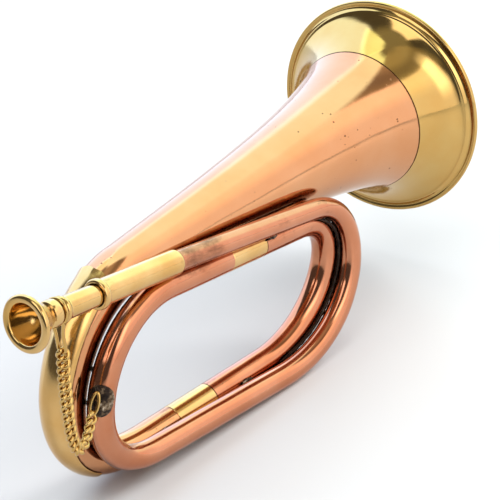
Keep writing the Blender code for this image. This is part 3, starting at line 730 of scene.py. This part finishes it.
COPPER = (0.62, 0.305, 0.150)
COPPER_WARM = (0.60, 0.275, 0.125)
COPPER_RED = (0.58, 0.250, 0.140)
COPPER_RED_WARM = (0.53, 0.200, 0.100)
# Dark tarnished copper; the same colour is laid on as painted shade in crevices and beside other pieces.
COPPER_TARNISH_AND_SHADE = (0.080, 0.026, 0.012)
BRASS = (0.57, 0.375, 0.130)
BRASS_WARM = (0.55, 0.330, 0.100)
BRASS_TAN = (0.68, 0.450, 0.190)
BRASS_TAN_WARM = (0.60, 0.350, 0.115)
BRASS_TARNISH = (0.16, 0.085, 0.025)

copper = polished("copper", COPPER, COPPER_WARM, COPPER_TARNISH_AND_SHADE, 0.06, pit_share=1.5)
copper_tubes = polished("copper_tubes", COPPER_RED, COPPER_RED_WARM, COPPER_TARNISH_AND_SHADE, 0.08, pit_share=0.8)
brass = polished("brass", BRASS, BRASS_WARM, BRASS_TARNISH, 0.06, pit_share=0.3)
brass_guard = polished("brass_guard", BRASS_TAN, BRASS_TAN_WARM, BRASS_TARNISH, 0.10, haze=0.14,
                       pit_share=0.4)
brass_dull = polished("brass_dull", BRASS_TAN, BRASS_TAN_WARM, BRASS_TARNISH, 0.13, haze=0.16,
                      pit_share=0.5, stain_all=0.10)
brass_cup = polished("brass_cup", BRASS_TAN, BRASS_WARM, BRASS_TARNISH, 0.10, haze=0.08, pit_share=0.2)
solder = soldered("solder")
# Painted shade: the far bows' seam is solder with its scraped places darkened to near black, so it stands
# for dark solder and for the shade in the gap between the bows.
solder_darkened_as_shade = soldered("solder_darkened_as_shade", pale=0.12)


# ------------------------------------------------------------------ tubes and bell

def add_mouthpipe_branch():
    """Mouthpipe, far bow, first lower tube, near bow and the start of the second upper tube."""
    centres, radii = mouthpipe_run()
    scuffed = close_to([mix(PIPE_SET, PIPE_END, 0.10), mix(PIPE_SET, PIPE_END, 0.22)], 20 * MM)
    marked = close_to([mix(PIPE_SET, PIPE_END, 0.7), bow_point(NEAR_BOW, PATCH_AT),
                       bow_point(FAR_BOW_ONE, 0.04)], 20 * MM)
    # Tarnishing and painted shade in the crevices beside the other branches.
    crevice = close_to_lines([middle_run(), bell_run()], CREVICE_REACH)
    # Painted shade: the near bow's side that faces the bell bow is darkened to look as if it mirrored dark
    # shade there.
    shade_beside_bell_bow = close_to_lines([bell_run()], BOW_SHADE_REACH)
    builder, runs = hollow_tube(centres, radii, [r - WALL for r in radii], TUBE_SIDES, wobble=0.07 * MM)
    stain_and_shade = strongest((scuffed, 1.15), (marked, 0.6), (crevice, CREVICE_SHADE_AND_TARNISH),
                      (shade_beside_bell_bow, BOW_PAINTED_SHADE))
    finish_mesh("mouthpipe_branch", builder, runs, copper_tubes, stain_and_shade=stain_and_shade)


def add_middle_branch():
    """The rest of the second upper tube, the inner far bow and half of the second lower tube."""
    centres, radii = middle_run()
    start, end = centres[0], centres[-1]
    scuffed = close_to([start, UPPER_TWO_FAR, mix(start, UPPER_TWO_FAR, 0.5), end], 22 * MM)
    # Tarnishing and painted shade in the crevices beside the other branches.
    crevice = close_to_lines([mouthpipe_run(), bell_run()], CREVICE_REACH)
    builder, runs = hollow_tube(centres, radii, [r - WALL for r in radii], TUBE_SIDES, wobble=0.07 * MM)
    finish_mesh("middle_branch", builder, runs, copper_tubes,
                stain_and_shade=strongest((scuffed, 0.6), (crevice, CREVICE_SHADE_AND_TARNISH)))


def add_ferrule(name, which, shares, way):
    """A brass joint: the stretch that shows, rounded at its edges, and a thinner spigot into each tube."""
    first, first_radius = ferrule_point(which, shares[0])
    second, second_radius = ferrule_point(which, shares[1])
    first = first + way * GAP / 2
    second = second - way * GAP / 2
    shy = WALL + GAP
    soft = 0.25 * MM
    centres = [first - way * SPIGOT, first, first, first + way * soft,
               *[mix(first, second, i / 10) for i in range(1, 10)],
               second - way * soft, second, second, second + way * SPIGOT]
    radii = [first_radius - shy, first_radius - shy, first_radius - soft, first_radius,
             *[mix(first_radius, second_radius, i / 10) for i in range(1, 10)],
             second_radius, second_radius - soft, second_radius - shy, second_radius - shy]
    inner = [min(first_radius, second_radius) - shy - WALL] * len(centres)
    builder, runs = hollow_tube(centres, radii, inner, TUBE_SIDES, [way] * len(centres), wobble=0.03 * MM)
    finish_mesh(name, builder, runs, brass_dull, stain_and_shade=close_to([first, second], 9 * MM))


def add_bell_branch():
    """Second lower tube after its ferrule, the bell bow and the copper body of the bell."""
    start, start_radius = ferrule_point("lower", LOWER_FERRULE[1])
    start = start + LOWER_TWO_WAY * GAP / 2
    body_length = BELL_LENGTH - FLARE_LENGTH - GAP / 2
    steps = 90
    alongs = [body_length * (1 - (1 - i / steps) ** 1.25) for i in range(1, steps + 1)]
    centres, radii = joined(
        ([start], [start_radius]),
        straight_run(start, LOWER_TWO_NEAR, start_radius, R_LOWER_TWO, 8),
        bow_run(BELL_BOW, R_LOWER_TWO, R_BELL_BOW_MIDDLE, R_THROAT))
    ways = tangents(centres)
    ways[-1] = BELL_WAY
    centres += [THROAT + BELL_WAY * a for a in alongs]
    radii += [bell_radius(a) for a in alongs]
    ways += [BELL_WAY] * steps
    scuffed = close_to([start, bow_point(BELL_BOW, 0.93)], 24 * MM)
    # Tarnishing and painted shade in the crevices beside the other branches.
    crevice = close_to_lines([mouthpipe_run(), middle_run()], CREVICE_REACH)
    # Painted shadow: the bell bow is darkened in a thin line beside the guard's long edges and its lower
    # end.
    shadow_beside_guard = close_to_lines([guard_edge()], GUARD_EDGE_SHADOW_REACH)
    stain_and_shade = strongest((scuffed, 0.8), (crevice, CREVICE_SHADE_AND_TARNISH), (at_flare_seam, JOINT_STAIN_AND_EDGE_SHADOW),
                      (shadow_beside_guard, JOINT_STAIN_AND_EDGE_SHADOW))
    inner = [r - WALL for r in radii]
    builder, runs = hollow_tube(centres, radii, inner, BELL_SIDES, ways, wobble=0.06 * MM)
    finish_mesh("bell_branch", builder, runs, copper, stain_and_shade=stain_and_shade)


def flare_outline(along, radius):
    """The flare's outer line, with the raised ring that the rolled rim leaves behind it."""
    ridge = math.exp(-((RIM_RADIUS - radius - RIDGE_INSIDE) / RIDGE_WIDTH) ** 2)
    return along - RIDGE_HEIGHT * ridge, radius


def add_bell_flare():
    """The brass mouth of the bell, from the seam to the edge that the bead closes over."""
    steps = 120
    start = BELL_LENGTH - FLARE_LENGTH + GAP / 2
    run = BELL_LENGTH - 0.95 * MM - start
    alongs = [start + run * (1 - (1 - i / steps) ** 1.6) for i in range(steps + 1)]
    outer = [flare_outline(a, bell_radius(a)) for a in alongs]
    inner = [(a + WALL * 0.8, bell_radius(a) - WALL) for a in reversed(alongs)]
    inner[-1] = (start, inner[-1][1])
    builder, runs = turned(outer + inner, 2 * BELL_SIDES, THROAT, BELL_WAY, wobble=0.05 * MM)
    finish_mesh("bell_flare", builder, runs, brass, sharp=60,
                stain_and_shade=strongest((at_flare_seam, JOINT_STAIN_AND_EDGE_SHADOW)))


def add_rim_bead():
    """The rolled rim: a round wire edge with the groove where the sheet is turned in behind it."""
    section = [(-1.5, -1.35), (-1.45, -0.55), (-0.75, 0.0), (0.15, 0.1), (1.0, -0.15), (1.6, -0.95),
               (1.65, -2.2), (1.15, -3.2), (0.2, -3.35), (-0.9, -3.3), (-1.05, -2.7), (-1.3, -2.1)]
    outline = rounded_outline([(BELL_LENGTH + a * MM, RIM_RADIUS + out * MM) for a, out in section], 4)
    builder, runs = turned(outline, BELL_SIDES, THROAT, BELL_WAY, wobble=0.03 * MM)
    finish_mesh("rim_bead", builder, runs, brass, sharp=60)


def guard_point(t, share, layer):
    """A point on the guard's outer (1) or inner (0) skin, from edge (-1) to edge (1) at `t` on the bow."""
    centre, way, radius = bow_point(BELL_BOW, t), bow_way(BELL_BOW, t), bell_bow_radius(t)
    angle = guard_half_angle(t) * share
    top = smooth((t - GUARD_CRUMPLE_FROM) / (GUARD_SHARES[1] - GUARD_CRUMPLE_FROM))
    edge = smooth((abs(share) - 0.9) / 0.1)
    crumple = top * (0.35 + 0.5 * noise.noise(Vector((angle * 3.1, t * 60.0, 4.0)))) * MM
    lift = GAP + layer * (GUARD_THICKNESS * (1 - 0.45 * edge) + max(0.0, crumple))
    wave = uneven(Vector((centre.x, centre.z, angle * radius)), 14 * MM, 0.08 * MM) * layer
    slip = top * 1.2 * MM * noise.noise(Vector((angle * 2.3, 7.0, 1.0)))
    run = Vector((t * 150 * MM, radius * math.cos(angle), radius * math.sin(angle)))
    return ring_point(centre + way * slip, way, radius + lift + wave, angle), run


def add_bow_guard():
    """The half-shell over the outside of the bell bow, narrower below, with a crumpled soldered top."""
    places = [mix(*GUARD_SHARES, i / 72) for i in range(73)]
    sections = [[guard_point(t, share, layer) for layer, share in plate_section(28)] for t in places]
    builder = lofted([[point for point, _ in section] for section in sections], plate=True)
    runs = [run for section in sections for _, run in section]
    finish_mesh("bow_guard", builder, runs, brass_guard,
                stain_and_shade=close_to([bow_point(BELL_BOW, 0.88), bow_point(BELL_BOW, 0.16)], 18 * MM))


# ------------------------------------------------------------------ mouthpiece end

def add_receiver():
    """The sleeve that takes the mouthpiece, with a beaded mouth and a rounded far end."""
    bore = RECEIVER_RADIUS - 0.6
    bead = RECEIVER_RADIUS + 1.0
    start, end = RECEIVER_FROM, RECEIVER_TO
    profile = [(start, bore), (start, bead - 0.6), (start + 0.3, bead - 0.2), (start + 0.9, bead),
               (start + 2.0, bead + 0.05), (start + 2.9, bead - 0.05), (start + 3.5, bead - 0.4),
               (start + 3.9, bead - 0.9), (start + 4.4, RECEIVER_RADIUS),
               *[(mix(start + 6, end - 3, i / 14), RECEIVER_RADIUS) for i in range(15)],
               (end - 1.5, RECEIVER_RADIUS), (end - 0.7, RECEIVER_RADIUS - 0.12),
               (end - 0.2, RECEIVER_RADIUS - 0.3), (end, RECEIVER_RADIUS - 0.5), (end, bore)]
    builder, runs = turned([(a * MM, r * MM) for a, r in profile], TUBE_SIDES, wobble=0.04 * MM)
    stain_and_shade = close_to([X_AXIS * end * MM, X_AXIS * (start + 5) * MM], 9 * MM)
    finish_mesh("receiver", builder, runs, brass_dull, stain_and_shade=stain_and_shade)


def add_mouthpiece():
    """The mouthpiece, turned: rim, bowl, two beads with a groove for the ring, shank and bore."""
    rim = [(0.9, 9.6), (0.2, 10.5), (0.0, 11.6), (0.4, 12.9), (1.5, 13.5), (2.6, 13.2), (3.6, 12.0)]
    bowl = [(6.5, 9.8), (9.8, 7.7), (12.8, 5.9), (13.9, 5.4)]
    first_bead = [(14.4, 6.2), (16.0, 6.55), (18.4, 6.5), (19.3, 6.0)]
    groove = [(19.6, 4.9), (22.2, 4.9)]
    second_bead = [(22.4, 5.9), (23.2, 6.4), (24.3, 6.2), (24.9, 5.6)]
    shank = [(34.0, 5.45), (46.0, 5.2), (66.0, 4.7)]
    bore = [(66.0, 3.7), (45.0, 2.9), (24.0, 2.0), (16.5, 2.0), (13.0, 3.6), (9.0, 6.6), (4.5, 8.7)]
    outline = rim + bowl + first_bead + groove + second_bead + shank + bore
    corners = [bowl[-1], first_bead[0], first_bead[-1], *groove, second_bead[0], second_bead[-1],
               shank[-1], bore[0], bore[2], bore[3]]
    keep = [outline.index(corner) for corner in corners]
    builder, runs = turned(rounded_outline([(a * MM, r * MM) for a, r in outline], 5, keep), 96)
    finish_mesh("mouthpiece", builder, runs, brass_cup, MOUTHPIECE, sharp=50,
                stain_and_shade=close_to([X_AXIS * 20.5 * MM], 9 * MM))


def world_down():
    """The way a plumb line hangs, in the instrument's tipped frame."""
    return Vector((math.sin(STAND_TIP), 0.0, -math.cos(STAND_TIP)))


def ring_points():
    """The wire ring: round the mouthpiece's groove, then down in two close legs to an eye."""
    points = []
    for i in range(15):
        angle = RING_OPEN + (TAU - 2 * RING_OPEN) * i / 14
        points.append((RING_NECK * math.sin(angle), -RING_NECK * math.cos(angle)))
    shoulder = -RING_NECK * math.cos(RING_OPEN)
    legs = []
    for i in range(1, 6):
        t = i / 6
        width = RING_EYE + (RING_NECK * math.sin(RING_OPEN) - RING_EYE) * (1 - smooth(min(1.0, 2 * t)))
        legs.append((width, shoulder - (RING_DROP - RING_EYE + shoulder) * t))
    eye = []
    for i in range(5):
        angle = math.pi * i / 4
        eye.append((-RING_EYE * math.cos(angle), -(RING_DROP - RING_EYE) - RING_EYE * math.sin(angle)))
    points += [(-w, z) for w, z in legs] + eye + legs[::-1]
    down = world_down()
    placed = []
    for across, z in points:
        lean = max(0.0, shoulder - z) * RING_DROP / (RING_DROP + shoulder) * down.x
        placed.append(Vector((RING_PLACE + lean, across, z)))
    return placed


def ring_bottom():
    """Lowest point of the ring's wire, where the chain hangs."""
    return min(ring_points(), key=lambda p: p.z)


def add_ring():
    """The ring that ties the chain to the mouthpiece."""
    builder, runs = swept_wire(smooth_loop(ring_points(), 4), RING_WIRE, 16, X_AXIS)
    finish_mesh("mouthpiece_ring", builder, runs, brass)


def chain_path():
    """Closely spaced points down the slack chain, from the ring to the loop on the near bow."""
    start = ring_bottom()
    end = end_loop_bar()
    down = world_down()
    across = end - start
    across = (across - down * across.dot(down)).normalized()
    slack_a = start + down * CHAIN_HANG[0] - across * CHAIN_BULGE
    slack_b = end + down * CHAIN_HANG[1] - across * CHAIN_TURN
    path = []
    for i in range(CURVE_STEPS + 1):
        t = i / CURVE_STEPS
        s = 1.0 - t
        path.append(start * s**3 + slack_a * 3 * s * s * t + slack_b * 3 * s * t * t + end * t**3)
    path[0] = start + direction(path[1], start) * (RING_WIRE + HOOK_WIRE + GAP) / 2
    path[-1] = end + direction(path[-2], end) * (2 * HOOK_WIRE + GAP) / 2
    return path


def evenly_on(path, count):
    """Points that divide a path into equal lengths, both ends included."""
    steps = [(b - a).length for a, b in zip(path, path[1:])]
    wanted = sum(steps) / count
    points = [path[0]]
    covered = 0.0
    for first, second, step in zip(path, path[1:], steps):
        while len(points) < count and covered + step >= wanted * len(points):
            points.append(first + (second - first) * ((wanted * len(points) - covered) / step))
        covered += step
    return points + [path[-1]]


def link_ends():
    """Where the wire at the two ends of each link is centred; neighbours hook over each other."""
    hooks = evenly_on(chain_path(), LINK_COUNT)
    last = LINK_COUNT
    ways = [direction(hooks[max(i - 1, 0)], hooks[min(i + 1, last)]) for i in range(last + 1)]
    reach = [(RING_WIRE + HOOK_WIRE + GAP) / 2] + [(2 * HOOK_WIRE + GAP) / 2] * last
    upper = [hook - way * r for hook, way, r in zip(hooks, ways, reach)]
    lower = [hook + way * r for hook, way, r in zip(hooks, ways, reach)]
    return list(zip(upper[:-1], lower[1:]))


def link_points(top, bottom, flat):
    """An oval of wire whose two ends are turned against each other, as in curb chain."""
    centre = (top + bottom) / 2
    half = (bottom - top) / 2
    width = half.normalized().cross(flat)
    points = []
    for i in range(36):
        angle = TAU * (i + 0.5) / 36
        turn = LINK_TWIST * math.cos(angle)
        sideways = math.cos(turn) * width + math.sin(turn) * flat
        points.append(centre + half * math.cos(angle) + sideways * LINK_HALF_WIDTH * math.sin(angle))
    return points


def add_chain():
    """Curb links from the ring down to the lowest point and up to the loop on the near bow."""
    flat = CHAIN_FACE
    for i, (top, bottom) in enumerate(link_ends()):
        way = direction(top, bottom)
        flat = (flat - way * flat.dot(way)).normalized()
        flat = math.cos(CHAIN_DRIFT) * flat + math.sin(CHAIN_DRIFT) * way.cross(flat)
        builder, runs = swept_wire(link_points(top, bottom, flat), LINK_WIRE, 12, flat, LINK_FLATNESS)
        finish_mesh("chain_link_%02d" % (i + 1), builder, runs, brass)


# ------------------------------------------------------------------ what is soldered on

def on_near_bow(rise, radius, angle):
    """A point round the near bow, at a height above the middle of the patch."""
    share = PATCH_AT + rise / NEAR_BOW_LENGTH
    return ring_point(bow_point(NEAR_BOW, share), bow_way(NEAR_BOW, share), radius, angle)


def patch_point(row, height, share, layer):
    """A point on the patch's outer (1) or inner (0) skin, from edge (-1) to edge (1) at a height."""
    wide = math.sqrt(max(0.03, 1 - (height / PATCH_HALF_HEIGHT) ** 2))
    ragged = 1 + 0.10 * noise.noise(Vector((row * 0.25, 3.0 if share > 0 else 9.0, 0.0)))
    angle = PATCH_TURN + PATCH_HALF_ANGLE * wide * share * ragged
    crown = (1 - share**4) * (1 - (height / PATCH_HALF_HEIGHT) ** 4)
    lump = 0.55 + 0.9 * noise.noise(Vector((angle * 3.0, height / (2.6 * MM), 2.0)))
    thick = PATCH_THICKNESS * (0.25 + crown * max(0.2, lump + 0.4))
    return on_near_bow(height, R_NEAR_BOW + GAP * 0.3 + layer * thick, angle)


def add_anchor_patch():
    """The oval lump of solder that holds the chain's end loop on the near bow."""
    fineness = 40
    heights = [PATCH_HALF_HEIGHT * math.sin(math.pi * (i / fineness - 0.5)) for i in range(fineness + 1)]
    sections = [[patch_point(i, height, share, layer) for layer, share in plate_section(fineness)]
                for i, height in enumerate(heights)]
    finish_mesh("anchor_patch", lofted(sections, plate=True), None, solder)


def end_loop_points():
    """The chain's end loop: an oval on the patch, tilted, whose lower end stands off the solder."""
    base = R_NEAR_BOW + PATCH_THICKNESS + 2 * GAP + HOOK_WIRE
    points = []
    for i in range(12):
        turn = TAU * i / 12
        along = END_LOOP_HALF_LENGTH * math.cos(turn)
        across = END_LOOP_HALF_WIDTH * math.sin(turn)
        rise = along * math.cos(END_LOOP_TILT) - across * math.sin(END_LOOP_TILT)
        out = along * math.sin(END_LOOP_TILT) + across * math.cos(END_LOOP_TILT)
        radius = base + END_LOOP_LIFT * (1 - math.cos(turn)) / 2
        points.append(on_near_bow(END_LOOP_RISE + rise, radius, END_LOOP_TURN - out / base))
    return points


def end_loop_bar():
    """The lowest point of the end loop, which the last link hooks over."""
    return min(end_loop_points(), key=lambda p: p.z)


def add_end_loop():
    """The wire loop that the solder holds."""
    outward = on_near_bow(0.0, 1.0, END_LOOP_TURN) - on_near_bow(0.0, 0.0, END_LOOP_TURN)
    builder, runs = swept_wire(smooth_loop(end_loop_points(), 4), END_LOOP_WIRE, 14, outward)
    finish_mesh("chain_end_loop", builder, runs, brass)


def lumpy_ring(centre, way, radius, sides, lump):
    """A ring of points round a body, each pushed outwards as many times as `lump` says for its place."""
    ring = [ring_point(centre, way, radius, TAU * k / sides) for k in range(sides)]
    return [centre + (point - centre) * lump(point) for point in ring]


def add_lump(name, start, way, run, fatness, fat, material, rough):
    """A short round body along a line; `fatness` gives its shape and `rough` its lumps."""
    sections = []
    for i in range(23):
        share = i / 22
        sections.append(lumpy_ring(start + way * run * share, way, fat * fatness(share), 28,
                                   lambda point: 1 + rough * noise.noise(point / (1.7 * MM))))
    finish_mesh(name, lofted(sections), None, material)


def waisted(share):
    """The fatness of a stay: thinnest in the middle."""
    return 0.72 + 0.5 * abs(2 * share - 1) ** 2.5


def rounded_off(share):
    """The fatness of a bead of solder: rounded off towards both ends."""
    return max(0.08, math.sin(math.pi * share) ** 0.6)


def add_stay(name, centre_a, radius_a, centre_b, radius_b, thickness, material, rough):
    """A short round stay between two tubes, waisted in the middle, with a fillet at each end."""
    way = direction(centre_a, centre_b)
    start = centre_a + way * (radius_a + GAP * 0.4)
    run = (centre_b - centre_a).length - radius_a - radius_b - 0.8 * GAP
    add_lump(name, start, way, run, waisted, thickness, material, rough)


def nearest_share(bend, point):
    """How far along a bend the place nearest to a point is."""
    shares = (i / CURVE_STEPS for i in range(CURVE_STEPS + 1))
    return min(shares, key=lambda t: (bow_point(bend, t) - point).length)


def groove_point(centre_a, radius_a, centre_b, radius_b, way, towards):
    """Where a bead of solder rests in the groove between two tubes, on the side that faces `towards`."""
    reach_a = radius_a + SEAM_RADIUS + GAP
    reach_b = radius_b + SEAM_RADIUS + GAP
    apart = centre_b - centre_a
    apart -= way * apart.dot(way)
    distance = apart.length
    share = (reach_a**2 - reach_b**2 + distance**2) / (2 * distance)
    rise = math.sqrt(reach_a**2 - share**2)
    across = apart.normalized()
    out = way.cross(across)
    if out.dot(towards) < 0:
        out = -out
    return centre_a + across * share + out * (rise - SEAM_SINK)


def add_seam(name, centre_a, radius_a, centre_b, radius_b, way, towards):
    """A bead of solder lying in the groove between two tubes that run side by side."""
    middle = groove_point(centre_a, radius_a, centre_b, radius_b, way, towards)
    start = middle - way * SEAM_HALF_LENGTH
    add_lump(name, start, way, 2 * SEAM_HALF_LENGTH, rounded_off, SEAM_RADIUS, solder, 0.35)


def seam_lump(point):
    """The unevenness of a long run of solder."""
    return 1.0 + 0.30 * noise.noise(point / (3.0 * MM)) + 0.16 * noise.noise(point / (1.1 * MM))


def add_bow_seam():
    """The long, uneven run of solder between the two far bows, on the side that faces the mouthpiece; its
    near-black colour is both dark solder and painted shade of the gap between the bows.
    """
    steps = 150
    sections = []
    for i in range(steps + 1):
        share = mix(*BOW_SEAM_SHARES, i / steps)
        inner = bow_point(FAR_BOW_TWO, share)
        beside = nearest_share(FAR_BOW_ONE, inner)
        outer = bow_point(FAR_BOW_ONE, beside)
        inner_radius = opening_radius(R_UPPER_TWO, R_FAR_BOW_TWO_MIDDLE, R_FAR_BOW_TWO, share)
        outer_radius = opening_radius(R_PIPE, R_FAR_BOW_ONE_MIDDLE, R_FAR_BOW_ONE, beside)
        way = bow_way(FAR_BOW_TWO, share)
        middle = groove_point(outer, outer_radius, inner, inner_radius, way, BOW_SEAM_SIDE)
        ending = smooth(min(1.0, 12 * min(i, steps - i) / steps))
        sections.append(lumpy_ring(middle, way, SEAM_RADIUS * mix(0.25, 1.0, ending), 18, seam_lump))
    finish_mesh("far_bow_seam", lofted(sections), None, solder_darkened_as_shade)


def add_soldered_pieces():
    """Stays between bows and receiver, and the solder seams between tubes that lie together."""
    grip = Vector((STAY_PLACE, 0.0, 0.0))
    sleeve = RECEIVER_RADIUS * MM
    add_stay("receiver_stay", grip, sleeve, THROAT, R_THROAT, STAY_RADIUS, brass, 0.0)
    for name, share in (("bow_stay_upper", 0.60), ("bow_stay_lower", 0.48)):
        centre = bow_point(NEAR_BOW, share)
        beside = nearest_share(BELL_BOW, centre)
        add_stay(name, centre, R_NEAR_BOW, bow_point(BELL_BOW, beside), bell_bow_radius(beside),
                 BRIDGE_RADIUS, solder, 0.2)
    pipe = mix(PIPE_SET, PIPE_END, 0.70)
    upper = mix(UPPER_TWO_NEAR, UPPER_TWO_FAR, 0.71)
    add_seam("upper_seam", pipe, R_PIPE, upper, R_UPPER_TWO, UPPER_TWO_WAY, -Y_AXIS)
    for name, share in (("lower_seam_far", 0.2), ("lower_seam_near", 0.85)):
        one = mix(LOWER_ONE_FAR, LOWER_ONE_NEAR, share)
        two = mix(LOWER_TWO_FAR, LOWER_TWO_NEAR, share)
        r_one = mix(R_FAR_BOW_ONE, R_LOWER_ONE, share)
        r_two = mix(R_FAR_BOW_TWO, R_LOWER_TWO, share)
        add_seam(name, one, r_one, two, r_two, LOWER_ONE_WAY, Vector((0, 0, 1)))
    add_bow_seam()


# ------------------------------------------------------------------ studio

CAMERA_PLACE = Vector((-0.6318, -0.5462, 0.5409))
CAMERA_RIGHT = Vector((0.6005, -0.7963, -0.0730))
CAMERA_UP = Vector((0.4290, 0.2437, 0.8698))
CAMERA_LENS = 133.66
CAMERA_SENSOR = 36.0
CAMERA_SHIFT = (0.0012, -0.0028)

FLOOR_HALF = 6.0
FLOOR_COLOUR = (0.58, 0.58, 0.58, 1.0)

# Panels of light that the metal mirrors, each with its bearing and its height as (middle, half size,
# soft edge) in degrees, and its colour. Bearing 0 is the bell's end, 90 the far side, 180 the
# mouthpiece's end and -90 the side that the mouthpipe is on.
STUDIO_PANELS = {
    "far side, cool": ((72.0, 32.0, 10.0), (26.0, 30.0, 8.0), (1.60, 2.10, 3.00)),
    "far side, top": ((70.0, 30.0, 8.0), (70.0, 9.0, 7.0), (1.55, 2.00, 1.60)),
    "bell end, tall": ((8.0, 22.0, 14.0), (38.0, 38.0, 6.0), (1.57, 2.15, 1.95)),
    "near side, low": ((-75.0, 47.0, 14.0), (14.0, 33.0, 4.0), (1.38, 1.34, 1.34)),
    "near side, glow at its top": ((-72.0, 46.0, 6.0), (38.0, 6.0, 14.0), (0.25, 0.22, 0.10)),
    "near side, dim warm wall above": ((-80.0, 55.0, 10.0), (58.0, 20.0, 12.0), (0.25, 0.22, 0.14)),
    "near side, strip": ((-120.0, 6.0, 9.0), (35.0, 10.0, 20.0), (1.60, 1.60, 1.50)),
    "mouthpiece end, window": ((178.0, 19.0, 6.0), (45.0, 19.0, 5.0), (2.20, 2.20, 2.20)),
    "ceiling": ((0.0, 180.0, 1.0), (90.0, 18.0, 12.0), (0.28, 0.28, 0.20)),
}
STUDIO_DIM = (0.12, 0.12, 0.12)
STUDIO_FILL = (0.46, 0.46, 0.46)
SOFTBOXES = (
    ("top_softbox", Vector((-0.3, 0.2, 1.8)), 2.2, 34.0),
    ("right_softbox", Vector((1.15, -0.75, 1.0)), 0.9, 26.0),
)   # name, place, size in metres, power in watts


def add_camera():
    """The camera, above and in front of the mouthpiece."""
    data = bpy.data.cameras.new("camera")
    data.lens = CAMERA_LENS
    data.sensor_width = CAMERA_SENSOR
    data.shift_x, data.shift_y = CAMERA_SHIFT
    data.clip_start = 0.01
    data.clip_end = 50.0
    camera = bpy.data.objects.new("camera", data)
    right = CAMERA_RIGHT.normalized()
    back = right.cross(CAMERA_UP).normalized()
    up = back.cross(right)
    turn = Matrix((right, up, back)).transposed().to_4x4()
    camera.matrix_world = Matrix.Translation(CAMERA_PLACE) @ turn
    bpy.context.scene.collection.objects.link(camera)
    bpy.context.scene.camera = camera


def add_floor():
    """A plain pale floor."""
    builder = bmesh.new()
    bmesh.ops.create_grid(builder, x_segments=8, y_segments=8, size=FLOOR_HALF)
    mesh = bpy.data.meshes.new("floor")
    builder.to_mesh(mesh)
    builder.free()
    material, _, shader = new_material("floor_paper")
    shader.inputs["Base Color"].default_value = FLOOR_COLOUR
    shader.inputs["Roughness"].default_value = 0.35
    shader.inputs["Specular IOR Level"].default_value = 0.25
    mesh.materials.append(material)
    floor = bpy.data.objects.new("floor", mesh)
    bpy.context.scene.collection.objects.link(floor)


def around(tree, value, middle, half, soft):
    """1 where an angle in degrees is within `half` of `middle`, falling to 0 over `soft` more."""
    away = node(tree, "ShaderNodeMath", {0: maths(tree, "SUBTRACT", value, middle), 1: 180.0, 2: -180.0},
                operation="WRAP").outputs[0]
    away = node(tree, "ShaderNodeMath", {0: away}, operation="ABSOLUTE").outputs[0]
    made = node(tree, "ShaderNodeMapRange", {"Value": away, "From Min": half, "From Max": half + soft,
                                             "To Min": 1.0, "To Max": 0.0}, interpolation_type="SMOOTHSTEP")
    return made.outputs["Result"]


def degrees(tree, value):
    """Radians to degrees."""
    return node(tree, "ShaderNodeMath", {0: value}, operation="DEGREES").outputs[0]


def add_studio_walls():
    """The room that the metal mirrors: soft-edged panels, some of them tinted, and dim between them.

    Matt things get an even fill light from it instead, and the camera sees plain white.
    """
    world = bpy.data.worlds.new("studio")
    bpy.context.scene.world = world
    world.use_nodes = True
    tree = world.node_tree
    ray = node(tree, "ShaderNodeTexCoord").outputs["Generated"]
    parts = node(tree, "ShaderNodeSeparateXYZ", {0: ray}).outputs
    turn = degrees(tree, maths(tree, "ARCTAN2", parts["Y"], parts["X"]))
    height = degrees(tree, node(tree, "ShaderNodeMath", {0: parts["Z"]}, operation="ARCSINE").outputs[0])
    light = STUDIO_DIM
    for bearings, heights, glow in STUDIO_PANELS.values():
        panel = maths(tree, "MULTIPLY", around(tree, turn, *bearings), around(tree, height, *heights))
        panel = node(tree, "ShaderNodeVectorMath", {0: glow, "Scale": panel}, operation="SCALE").outputs[0]
        light = node(tree, "ShaderNodeVectorMath", {0: light, 1: panel}, operation="ADD").outputs[0]
    path = node(tree, "ShaderNodeLightPath").outputs
    light = blend_colour(tree, path["Is Diffuse Ray"], light, STUDIO_FILL)
    colour = blend_colour(tree, path["Is Camera Ray"], light, (1.0, 1.0, 1.0))
    tree.links.new(colour, tree.nodes["Background"].inputs["Color"])


def add_softbox(name, place, size, power):
    """A square softbox that faces the middle of the table and is not mirrored by the metal."""
    data = bpy.data.lights.new(name, "AREA")
    data.shape = "SQUARE"
    data.size = size
    data.energy = power
    box = bpy.data.objects.new(name, data)
    box.location = place
    box.rotation_euler = (-place).to_track_quat("-Z", "Y").to_euler()
    box.visible_camera = False
    box.visible_glossy = False
    bpy.context.scene.collection.objects.link(box)


def main():
    """Build every piece, then the studio."""
    add_mouthpipe_branch()
    add_middle_branch()
    add_bell_branch()
    add_ferrule("upper_ferrule", "upper", UPPER_FERRULE, UPPER_TWO_WAY)
    add_ferrule("lower_ferrule", "lower", LOWER_FERRULE, LOWER_TWO_WAY)
    add_bell_flare()
    add_rim_bead()
    add_bow_guard()
    add_receiver()
    add_mouthpiece()
    add_ring()
    add_chain()
    add_anchor_patch()
    add_end_loop()
    add_soldered_pieces()
    add_camera()
    add_floor()
    add_studio_walls()
    for softbox in SOFTBOXES:
        add_softbox(*softbox)
    bpy.context.scene.view_settings.view_transform = "Standard"


main()
